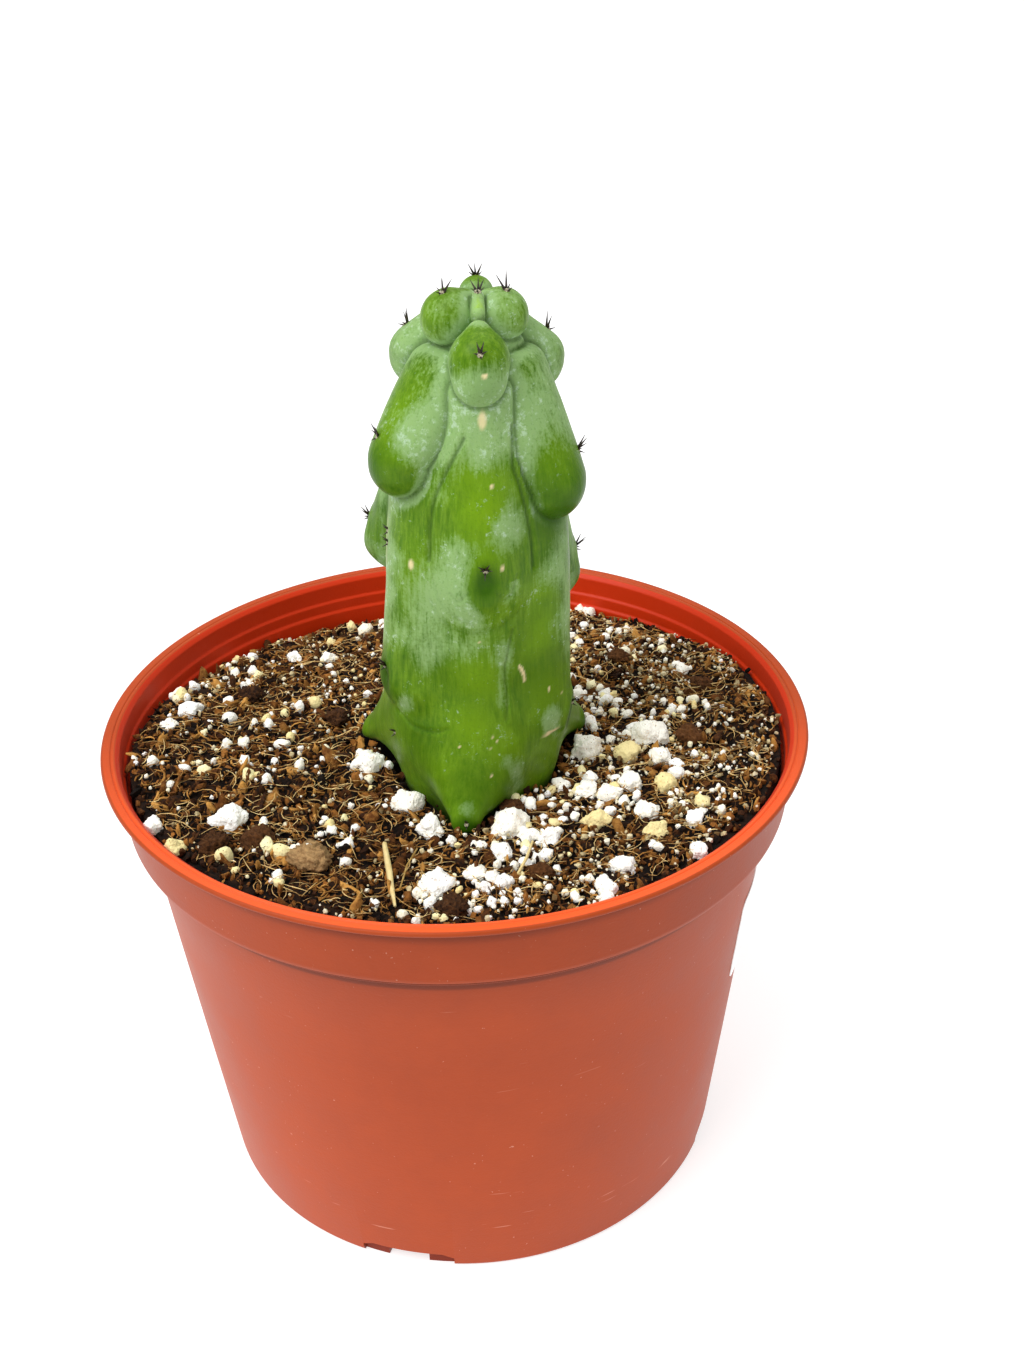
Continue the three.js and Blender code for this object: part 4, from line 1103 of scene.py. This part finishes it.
def areole_places():
    """Point on the skin and outward direction of each areole, with its age from 0 to 1."""
    starts, ages, lifts = [], [], []
    for azimuth, _, bulge, _, _, aim in LOBES:
        if aim:
            t = math.radians(aim[1])
            out = rib_point(aim[0], math.cos(t), math.sin(t))
            starts.append(rib_point(azimuth, *bulge[:2]) + out * bulge[2] * 1.15)
            lifts.append(0.5 if bulge[1] <= ROUND_LOBES_Z else 0.1)
            ages.append(np.clip((275 - bulge[1]) / 130, 0, 1))
    for azimuth, height in SIDE_AREOLES:
        starts.append(rib_point(azimuth, 27, height))
        lifts.append(0.1)
        ages.append(1.0)
    p = np.array(starts)
    for _ in range(10):
        p = p - stem_normal(p) * stem_field(p)[:, None]
    normal = stem_normal(p)
    return p + normal * np.array(lifts)[:, None], normal, np.array(ages)


def spine_tree():
    """Slim cones on points that carry their own aim, length and girth."""
    tree, given = new_tree("Spines on areoles", ("Finish", "Material", None), ("Sides", "Int", 7),
                           ("Root radius", "Float", 0.3 * MM))
    girth, length, aim = [
        add(tree, "GeometryNodeInputNamedAttribute", {"data_type": kind}, {"Name": name}).outputs[0]
        for name, kind in (("girth", "FLOAT"), ("length", "FLOAT"), ("aim", "FLOAT_VECTOR"))]
    cone = add(tree, "GeometryNodeMeshCone", inputs={
        "Vertices": given["Sides"], "Side Segments": 3, "Radius Top": 0.03 * MM,
        "Radius Bottom": given["Root radius"], "Depth": 1.0 * MM})
    turn = add(tree, "FunctionNodeAlignRotationToVector", {"axis": "Z"}, {"Vector": aim})
    size = add(tree, "ShaderNodeCombineXYZ", inputs={"X": girth, "Y": girth, "Z": length})
    placed = add(tree, "GeometryNodeInstanceOnPoints", inputs={
        "Points": given["Geometry"], "Instance": cone.outputs["Mesh"],
        "Rotation": turn, "Scale": size})
    return end_tree(tree, placed, given["Finish"])


# Spines of an areole: bearing in its plane, spread from its middle, length share
YOUNG_FAN = (
    (62, 0.62, 1.0), (118, 0.62, 0.95), (90, 0.2, 0.75), (20, 0.8, 0.45), (160, 0.8, 0.42), (-90, 0.6, 0.5),
)
OLD_FAN = ((70, 0.5, 0.55), (115, 0.6, 0.45), (-80, 0.5, 0.4))


def build_spines():
    """A fan of black spines on every areole, over a cushion of felt."""
    source = make_random(SEED + 21)
    areoles = list(zip(*areole_places()))
    places, aims, lengths, girths = [], [], [], []
    for p, n, age in areoles:
        across = np.cross((0, 0, 1.0), n)
        across /= np.linalg.norm(across)
        up = np.cross(n, across)
        for bearing, spread, size in OLD_FAN if age > 0.85 else YOUNG_FAN:
            b = math.radians(bearing + 26 * (next(source) - 0.5))
            s = spread * (0.75 + 0.5 * next(source))
            aim = n + across * math.cos(b) * s * 1.5 + up * math.sin(b) * s * 1.3
            places.append(p - n * 0.3 + across * 0.35 * math.cos(b) + up * 0.35 * math.sin(b))
            aims.append(aim / np.linalg.norm(aim))
            lengths.append(settings().spine_length / MM * size * (0.8 + 0.4 * next(source)))
            girths.append(0.7 + 0.5 * size)
    spines = mesh_piece("Spines", leaned(places), [])
    store(spines, "length", lengths)
    store(spines, "girth", girths)
    attribute = spines.data.attributes.new("aim", "FLOAT_VECTOR", "POINT")
    attribute.data.foreach_set("vector", np.array(aims, np.float32).ravel())
    bake_nodes(spines, spine_tree(), {"Finish": spine_horn(), "Sides": 7, "Root radius": 0.32 * MM})
    spines.data.shade_smooth()
    settle(spines, "cactus")

    points, faces = [], []
    for p, n, age in areoles:
        size = 0.85 - 0.25 * age
        directions, rim = ball_mesh(3)
        faces += [[len(points) + i for i in face] for face in rim]
        for unit in directions:
            q = np.array(unit) * size * (1 + 0.28 * noise.noise(unit * 4.0 + Vector(p)))
            points.append(leaned(p - n * 0.25 + q - n * (q @ n) * 0.35))
    felt = mesh_piece("Areole_felt", points, faces)
    felt.data.materials.append(areole_felt())
    settle(felt, "cactus")


# ---------------------------------------------------------------- soil

def block_reach(unit, turn, amount):
    """How far a ball that is partly a rounded cube reaches in a direction, its mean size kept."""
    u = unit.copy()
    u.rotate(turn)
    cube = sum(abs(c) ** 4 for c in u) ** -0.25
    return 1 + amount * (cube - 1.12)


def uneven(unit, seed, shift, waves, block):
    """Growth of a grain in a direction, from noise of (size, frequency) and a block's own form."""
    grow = 1 + sum(size * noise.noise(unit * often + shift) for size, often in waves)
    return grow * block_reach(unit, Euler((seed * 1.3, seed * 2.1, seed * 0.7)), block)


def shape_set(name, count, squash, rough, level=2, block=0.0):
    """A collection of uneven grains about 1 mm across, kept out of the scene."""
    group = bpy.data.collections.new(name)
    directions, faces = ball_mesh(level)
    for k in range(count):
        seed = k + 1
        form = Vector([c * (0.85 + 0.3 * ((k * 37 % 11) / 10)) for c in squash])
        shift = Vector((seed * 7.31, seed * 3.17, seed * 1.93))
        waves = ((rough, 1.1), (rough * 0.6, 2.7))
        mesh = bpy.data.meshes.new(f"{name}_{k}")
        points = [unit * form * uneven(unit, seed, shift, waves, block) * 0.5 * MM for unit in directions]
        mesh.from_pydata(points, [], faces)
        if level > 1:
            mesh.shade_smooth()
        group.objects.link(bpy.data.objects.new(mesh.name, mesh))
    return group


def scatter_tree():
    """Spreads grains over a surface, with a random size, turn and tone for each."""
    tree, given = new_tree(
        "Scattered grains", ("Shapes", "Collection", None), ("Finish", "Material", None),
        ("Spacing", "Float", 0.003), ("Most per area", "Float", 50000.0), ("Smallest", "Float", 1.0),
        ("Largest", "Float", 3.0), ("Lift", "Float", 0.0), ("Seed", "Int", 1))
    room = add(tree, "GeometryNodeInputNamedAttribute", {"data_type": "FLOAT"}, {"Name": "room"})
    spread = add(tree, "GeometryNodeDistributePointsOnFaces", {"distribute_method": "POISSON"}, {
        "Mesh": given["Geometry"], "Distance Min": given["Spacing"], "Density Max": given["Most per area"],
        "Density Factor": room, "Seed": given["Seed"]})
    lift = add(tree, "ShaderNodeCombineXYZ", inputs={"Z": given["Lift"]})
    raised = add(tree, "GeometryNodeSetPosition", inputs={
        "Geometry": spread.outputs["Points"], "Offset": lift})
    grains = add(tree, "GeometryNodeCollectionInfo", {"transform_space": "RELATIVE"}, {
        "Collection": given["Shapes"], "Separate Children": True, "Reset Children": True})
    turn = add(tree, "FunctionNodeRandomValue", {"data_type": "FLOAT_VECTOR"}, {
        0: (0, 0, 0), 1: (6.283, 6.283, 6.283), "Seed": given["Seed"]})
    chance, tone = [
        add(tree, "FunctionNodeRandomValue", {"data_type": "FLOAT"}, {2: 0.0, 3: 1.0, "Seed": seed})
        for seed in (7, 11)]
    # most grains are small
    rare = add(tree, "ShaderNodeMath", {"operation": "POWER"}, {0: chance.outputs[1], 1: 2.4})
    size = add(tree, "ShaderNodeMapRange", inputs={
        "Value": rare, "To Min": given["Smallest"], "To Max": given["Largest"]})
    placed = add(tree, "GeometryNodeInstanceOnPoints", inputs={
        "Points": raised, "Instance": grains, "Pick Instance": True,
        "Rotation": turn, "Scale": size})
    toned = add(tree, "GeometryNodeStoreNamedAttribute", {"data_type": "FLOAT", "domain": "INSTANCE"}, {
        "Geometry": placed, "Name": "tone", "Value": tone.outputs[1]})
    return end_tree(tree, toned, given["Finish"])


def scatter(name, tree, shapes, finish, spacing, density, sizes, lift, seed, weight):
    """Grains over a sheet that follows the soil's surface, by a weight of x, y and free room."""
    across = np.linspace(0, 2 * math.pi, 180, endpoint=False)
    turn, radius = np.meshgrid(across, np.arange(2.0, 95.0, 2.5))
    points = polar(turn, radius, 0).reshape(-1, 3)
    x, y = points[:, 0], points[:, 1]
    points[:, 2] = soil_height(x, y)
    n = len(across)
    faces = [[k * n + i, (k + 1) * n + i, (k + 1) * n + (i + 1) % n, k * n + (i + 1) % n]
             for k in range(len(radius) - 1) for i in range(n)]
    sheet = mesh_piece(name, points, faces)
    store(sheet, "room", np.clip(weight(x, y, room_round(x, y)), 0, 1))
    bake_nodes(sheet, tree, {
        "Shapes": shapes, "Finish": finish, "Spacing": spacing * MM, "Most per area": density / (MM * MM),
        "Smallest": sizes[0], "Largest": sizes[1], "Lift": lift * MM, "Seed": seed})
    settle(sheet, "soil")


def everywhere(x, y, room):
    return np.clip((room + 0.4) / 1.2, 0, 1)


def perlite_weight(x, y, room):
    """Perlite lies in clumps, and thickest at the front right."""
    dense = np.where((x > -5) & (y < 25), 1.0, 0.5)
    clump = np.clip(0.55 + 0.9 * coarse_relief(y, -x) + 0.35 * fine_relief(-y, x), 0.05, 1)
    return dense * clump * np.clip((room - 0.8) / 2.0, 0, 1)


def cream_weight(x, y, room):
    """Cream crumbs lie in clumps, and thickest at the right and back."""
    side = np.clip(0.4 + x / 95, 0.2, 1) + 0.25 * np.clip((y - 10) / 60, 0, 1)
    clump = np.clip(0.6 + 1.1 * fine_relief(x * 0.8, -y * 0.8), 0.08, 1)
    return np.clip(side, 0, 1) * clump * np.clip((room - 0.5) / 1.5, 0, 1)


def build_soil_bed():
    """The body of the mix: a rough surface, and plain sides and bottom inside the pot."""
    around, across = ((400, 180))
    a = np.linspace(0, 2 * math.pi, around, endpoint=False)
    foot = np.interp((a + math.pi) % (2 * math.pi) - math.pi, FOOT_TABLE_AZ, FOOT_TABLE_R) + 0.35
    inner = polar(a, foot, 0)[:, :2] + (STEM_X, STEM_Y)
    outer = polar(a, 93.9, 0)[:, :2]
    bottom = FOOT_Z - GAP
    rings, tones = [np.hstack([inner, np.full((around, 1), bottom)])], [np.zeros(around)]
    for k in range(across + 1):
        t = k / across
        x, y = (inner * (1 - t) + outer * t).T
        edge = np.clip(room_round(x, y) / 3, 0, 1)
        rough = 0.8 * crumb_relief(x, y) + 0.5 * fine_relief(y * 0.7, x * 0.7)
        rough += 0.75 * grit_relief(x, y) + 0.4 * grit_relief(y * 0.62, -x * 0.62)
        rings.append(np.stack([x, y, soil_height(x, y) - 0.8 + edge * rough], 1))
        tones.append(0.10 + 0.16 * rough)
    for r, z in ((93.6, 122.9), (wall_radius(119.5) - WALL_THICK - GAP, 119.8),
                 (wall_radius(8.9) - WALL_THICK - GAP, 8.9), (wall_radius(6.8) - WALL_THICK - 1.9, 7.1)):
        rings.append(polar(a, r, z))
        tones.append(np.zeros(around))
    points, faces = ring_skin(rings[::-1], (0, 0, 7.1), (STEM_X, STEM_Y, bottom))
    bed = mesh_piece("Soil_bed", points, faces)
    recalc_normals(bed)
    store(bed, "tone", np.concatenate([*tones[::-1], [0.0, 0.0]]))
    bed.data.materials.append(grain_finish(
        "Damp peat and bark fines", "#100804", "#38200f", "#87592c", 700.0, 0.9))
    settle(bed, "soil", "soil")


def fibre_tree():
    """Thin tapering strands along the edges of a mesh of polylines."""
    tree, given = new_tree("Fibres along lines", ("Finish", "Material", None),
                           ("Thickness", "Float", 0.2 * MM), ("Sides", "Int", 3))
    lines = add(tree, "GeometryNodeMeshToCurve", inputs={"Mesh": given["Geometry"]})
    girth = add(tree, "GeometryNodeInputNamedAttribute", {"data_type": "FLOAT"}, {"Name": "girth"})
    section = add(tree, "GeometryNodeCurvePrimitiveCircle", inputs={
        "Resolution": given["Sides"], "Radius": given["Thickness"]})
    tube = add(tree, "GeometryNodeCurveToMesh", inputs={
        "Curve": lines, "Profile Curve": section, "Fill Caps": True,
        "Scale": girth})
    return end_tree(tree, tube, given["Finish"])


def strands(name, lines, girths, tones, tree, finish, thickness, sides=3):
    """Tubes along lines of points in mm, with a girth and a tone for each point."""
    edges, start = [], 0
    for line in lines:
        edges += [(k, k + 1) for k in range(start, start + len(line) - 1)]
        start += len(line)
    piece = mesh_piece(name, np.vstack(lines), [], edges=edges)
    store(piece, "girth", girths)
    store(piece, "tone", tones)
    bake_nodes(piece, tree, {"Finish": finish, "Thickness": thickness * MM, "Sides": sides})
    settle(piece, "soil")


def build_fibres(name, count, lengths, thickness, finish, tree, seed, lift):
    """Coir and bark fibres lying every way on the mix."""
    source = make_random(seed)
    steps = 4
    lines, girths, tones = [], [], []
    while len(lines) < count:
        r, turn = 92 * math.sqrt(next(source)), 2 * math.pi * next(source)
        x, y = r * math.sin(turn), -r * math.cos(turn)
        heading, bend = 2 * math.pi * next(source), (next(source) - 0.5) * 1.3
        length = lengths[0] + (lengths[1] - lengths[0]) * next(source) ** 2
        rise, tone, wide = (next(source) - 0.35) * 0.5, next(source), 0.6 + 0.8 * next(source)
        strand = []
        for _ in range(steps + 1):
            strand.append((x, y))
            x += length / steps * math.cos(heading)
            y += length / steps * math.sin(heading)
            heading += bend
        x, y = np.array(strand).T
        if room_round(x, y).min() < 0.8:
            continue
        z = soil_height(x, y) + lift + np.linspace(0, 1, steps + 1) * rise * length * 0.5
        lines.append(np.stack([x, y, z], 1))
        girths += [wide * (1 - 0.6 * abs(2 * k / steps - 1)) for k in range(steps + 1)]
        tones += [tone] * (steps + 1)
    strands(name, lines, girths, tones, tree, finish, thickness)


def build_lumps(name, lumps, squashes, tones, rough, seed, sink, grit, block, finish):
    """Large uneven lumps seated on the mix, each at x, y with its size across."""
    points, faces, tone = [], [], []
    directions, rim = ball_mesh(4)
    for (x, y, size), squash, shade in zip(lumps, squashes, tones):
        shift = Vector((seed * 5.7, seed * 2.3, seed * 8.1))
        waves = ((rough, 1.3), (0.35 * rough, 3.7), (grit * rough, 9.0))
        faces += [[len(points) + i for i in face] for face in rim]
        z = ground(x, y) + size * sink
        for unit in directions:
            grow = uneven(unit, seed, shift, waves, block)
            q = Vector((unit.x, unit.y * squash[0], unit.z * squash[1])) * grow * size / 2
            q.rotate(Euler((0, 0, seed * 2.4)))
            points.append((q.x + x, q.y + y, q.z + z))
        tone += [shade] * len(directions)
        seed += 1
    piece = mesh_piece(name, points, faces)
    store(piece, "tone", tone)
    piece.data.materials.append(finish)
    settle(piece, "soil")


# Straw by line: x, y, height over the mix, girth
STRAW = (
    ((-20, -60, 2.6, 0.9), (-19.3, -66, 2.2, 1.1), (-18.6, -72, 1.8, 1.2), (-18, -78, 1.5, 1.0),
     (-17.2, -84, 1.4, 0.5)),
    ((14.0, -75, 2.2, 0.5), (16.5, -70, 3.0, 0.6), (18.5, -64, 3.4, 0.4)),
    ((-11.5, -64, 3.0, 0.3), (-14, -71, 2.6, 0.4), (-16, -79, 2.2, 0.3)),
)


def build_soil():
    build_soil_bed()
    tree = scatter_tree()
    peat = grain_finish("Crumbled peat", "#0e0703", "#47260f", "#a66c30", 900.0, 0.5)
    bark = grain_finish("Composted pine bark", "#180b04", "#6c3f18", "#d69c4e", 700.0, 0.6)
    coir = grain_finish("Coir fibre", "#482810", "#b07c3a", "#fadb98", 400.0, 0.1)
    white = perlite_finish()
    cream = grain_finish("Perlite dust and cream crumbs", "#6e5532", "#dccb9c", "#fffdf0", 600.0, 0.3)
    # spacing in mm, most grains per square mm, sizes in mm, lift in mm, seed, weight
    scatter("Peat_crumbs", tree, shape_set("crumb", 8, (1, 0.75, 0.6), 0.9, 1), peat,
            1.0, 0.5, (0.9, 3.4), -0.1, 3, everywhere)
    scatter("Bark_chips", tree, shape_set("chip", 7, (1.7, 0.8, 0.34), 0.7), bark,
            2.0, 0.05, (1.0, 4.4), 0.1, 5, everywhere)
    scatter("Perlite_grains", tree, shape_set("grain", 9, (1, 0.82, 0.75), 0.4, 2, 0.7), white,
            1.7, 0.11, (1.3, 4.8), 0.6, 9, perlite_weight)
    scatter("Cream_crumbs", tree, shape_set("dust", 5, (1, 0.85, 0.7), 0.6, 1), cream,
            0.9, 0.32, (0.7, 2.3), 0.8, 13, cream_weight)
    threads = fibre_tree()
    coir_count, bark_count = ((4300, 1050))
    build_fibres("Coir_fibres", coir_count, (2.2, 9.5), 0.14, coir, threads, SEED + 31, 0.9)
    build_fibres("Bark_slivers", bark_count, (2.2, 7.5), 0.36, bark, threads, SEED + 32, 0.6)

    squashes, tones = [], []
    source = make_random(SEED + 41)
    for k in range(len(BIG_LUMPS)):
        squashes.append((0.70 + 0.28 * next(source), 0.70 + 0.18 * next(source)))
        tones.append(0.95 if k in YELLOW_LUMPS else 0.7 * next(source))
    build_lumps("Perlite_lumps", BIG_LUMPS, squashes, tones, 0.32, 3, 0.12, 0.45, 0.75, white)
    clod = grain_finish("Matted coir clod", "#241106", "#7a4d28", "#dcb27a", 900.0, 1.8)
    build_lumps("Coir_clods", [entry[:3] for entry in CLODS], [(0.85, 0.66)] * len(CLODS),
                [entry[3] for entry in CLODS], 0.30, 60, 0.08, 1.3, 0.6, clod)
    straw = grain_finish("Dry straw", "#9c7a3d", "#e0c583", "#f5e7b5", 500.0, 0.1, 0.6)
    lines = [[(x, y, ground(x, y) + over) for x, y, over, _ in line] for line in STRAW]
    strands("Straw_slivers", lines, [point[3] for line in STRAW for point in line],
            [0.6] * 8 + [0.1] * 3, threads, straw, 0.75, 5)


# ---------------------------------------------------------------- stage

def soft_light(name, spread, power, origin):
    """A wide soft light from an origin to the object's middle, its spread in degrees."""
    data = bpy.data.lights.new(name, "SUN")
    data.angle = math.radians(spread)
    data.energy = power
    light = place(name, data)
    light.location = origin
    light.rotation_euler = (Vector((0.0, 0.0, 0.13)) - Vector(origin)).to_track_quat("-Z", "Y").to_euler()


FLOOR_HALF = 4000


def build_stage():
    values = settings()
    corners = [(x * FLOOR_HALF, y * FLOOR_HALF, 0) for x, y in ((-1, -1), (1, -1), (1, 1), (-1, 1))]
    floor = mesh_piece("Floor", corners, [[0, 1, 2, 3]])
    floor.data.materials.append(floor_finish())
    camera = bpy.data.cameras.new("Camera")
    camera.lens = values.lens
    camera.sensor_width = 36.0
    camera.clip_start = 0.01
    camera.clip_end = 30.0
    holder = place("Camera", camera)
    holder.location = values.camera_place
    holder.rotation_euler = Euler(values.camera_turn)
    bpy.context.scene.camera = holder
    world = bpy.data.worlds.new("White surround")
    world.use_nodes = True
    world.node_tree.nodes.clear()
    seen = add(world.node_tree, "ShaderNodeLightPath")
    level = add(world.node_tree, "ShaderNodeMapRange", inputs={
        "Value": seen.outputs["Is Camera Ray"], "To Min": values.surround, "To Max": 1.0})
    sky = add(world.node_tree, "ShaderNodeBackground", inputs={
        "Color": (1, 1, 1, 1), "Strength": level})
    add(world.node_tree, "ShaderNodeOutputWorld", inputs={"Surface": sky})
    bpy.context.scene.world = world
    soft_light("Key softbox", 38.0, values.key_power, (-0.80, -0.60, 1.46))
    soft_light("Top softbox", 60.0, values.key_power * 0.5, (0.15, 0.35, 1.60))
    bpy.context.scene.view_settings.view_transform = "Standard"
    bpy.context.scene.view_settings.look = "None"


# ---------------------------------------------------------------- add-on

class CactusInPotSettings(bpy.types.PropertyGroup):
    """Sizes and colours that a user would change."""

    pot_dark: StringProperty(
        name="Pot, deeper tone", description="Deeper tone of the pot's plastic, as sRGB hex",
        default="#a03b0a")
    pot_light: StringProperty(
        name="Pot, lighter tone", description="Lighter tone of the pot's plastic, as sRGB hex",
        default="#b64817")
    skin_green: StringProperty(
        name="Skin green", description="Middle green of the cactus skin, as sRGB hex", default="#527f0d")
    bloom: StringProperty(
        name="Bloom", description="Colour of the waxy bloom, as sRGB hex", default="#93b577")
    spine_length: FloatProperty(
        name="Spine length", description="Length of the longest spines", default=4.2 * MM, unit="LENGTH")
    lens: FloatProperty(name="Lens", description="Focal length for a 36 mm long side", default=44.8)
    camera_place: FloatVectorProperty(
        name="Camera place", description="Where the camera stands", default=(0.0, -0.4226, 0.3998),
        subtype="TRANSLATION", unit="LENGTH")
    camera_turn: FloatVectorProperty(
        name="Camera turn", description="How the camera is turned",
        default=(math.radians(59.668), math.radians(1.3), math.radians(-3.027)), subtype="EULER")
    surround: FloatProperty(name="Surround", description="Strength of the white surround", default=0.45)
    key_power: FloatProperty(name="Key power", description="Strength of the key light", default=2.2)


class CACTUS_OT_pot(bpy.types.Operator):
    """Build the moulded pot."""

    bl_idname = "cactus.pot"
    bl_label = "Pot"

    def execute(self, context):
        build_pot()
        return {"FINISHED"}


class CACTUS_OT_label(bpy.types.Operator):
    """Build the blank label on the pot."""

    bl_idname = "cactus.label"
    bl_label = "Label"

    def execute(self, context):
        build_label()
        return {"FINISHED"}


class CACTUS_OT_soil(bpy.types.Operator):
    """Build the potting mix with its bark, coir and perlite."""

    bl_idname = "cactus.soil"
    bl_label = "Potting mix"

    def execute(self, context):
        build_soil()
        return {"FINISHED"}


class CACTUS_OT_skin(bpy.types.Operator):
    """Build the lobed stem."""

    bl_idname = "cactus.skin"
    bl_label = "Cactus skin"

    def execute(self, context):
        build_cactus_skin()
        return {"FINISHED"}


class CACTUS_OT_spines(bpy.types.Operator):
    """Build the areoles and their spines."""

    bl_idname = "cactus.spines"
    bl_label = "Areoles and spines"

    def execute(self, context):
        build_spines()
        return {"FINISHED"}


class CACTUS_OT_stage(bpy.types.Operator):
    """Build the floor, lights and camera."""

    bl_idname = "cactus.stage"
    bl_label = "Stage"

    def execute(self, context):
        build_stage()
        return {"FINISHED"}


OPERATORS = (
    CACTUS_OT_pot, CACTUS_OT_label, CACTUS_OT_soil, CACTUS_OT_skin, CACTUS_OT_spines, CACTUS_OT_stage)


class CACTUS_PT_panel(bpy.types.Panel):
    bl_idname = "CACTUS_PT_panel"
    bl_label = "Potted cactus"
    bl_space_type = "VIEW_3D"
    bl_region_type = "UI"
    bl_category = "Cactus"

    def draw(self, context):
        for operator in OPERATORS:
            self.layout.operator(operator.bl_idname)
        for name in CactusInPotSettings.__annotations__:
            self.layout.prop(context.scene.cactus_in_pot, name)


CLASSES = (CactusInPotSettings, *OPERATORS, CACTUS_PT_panel)


def register():
    for item in CLASSES:
        bpy.utils.register_class(item)
    bpy.types.Scene.cactus_in_pot = PointerProperty(type=CactusInPotSettings)


def unregister():
    del bpy.types.Scene.cactus_in_pot
    for item in reversed(CLASSES):
        bpy.utils.unregister_class(item)


def main():
    register()
    bpy.ops.cactus.pot()
    bpy.ops.cactus.label()
    bpy.ops.cactus.soil()
    bpy.ops.cactus.skin()
    bpy.ops.cactus.spines()
    bpy.ops.cactus.stage()


if __name__ == "__main__":
    main()
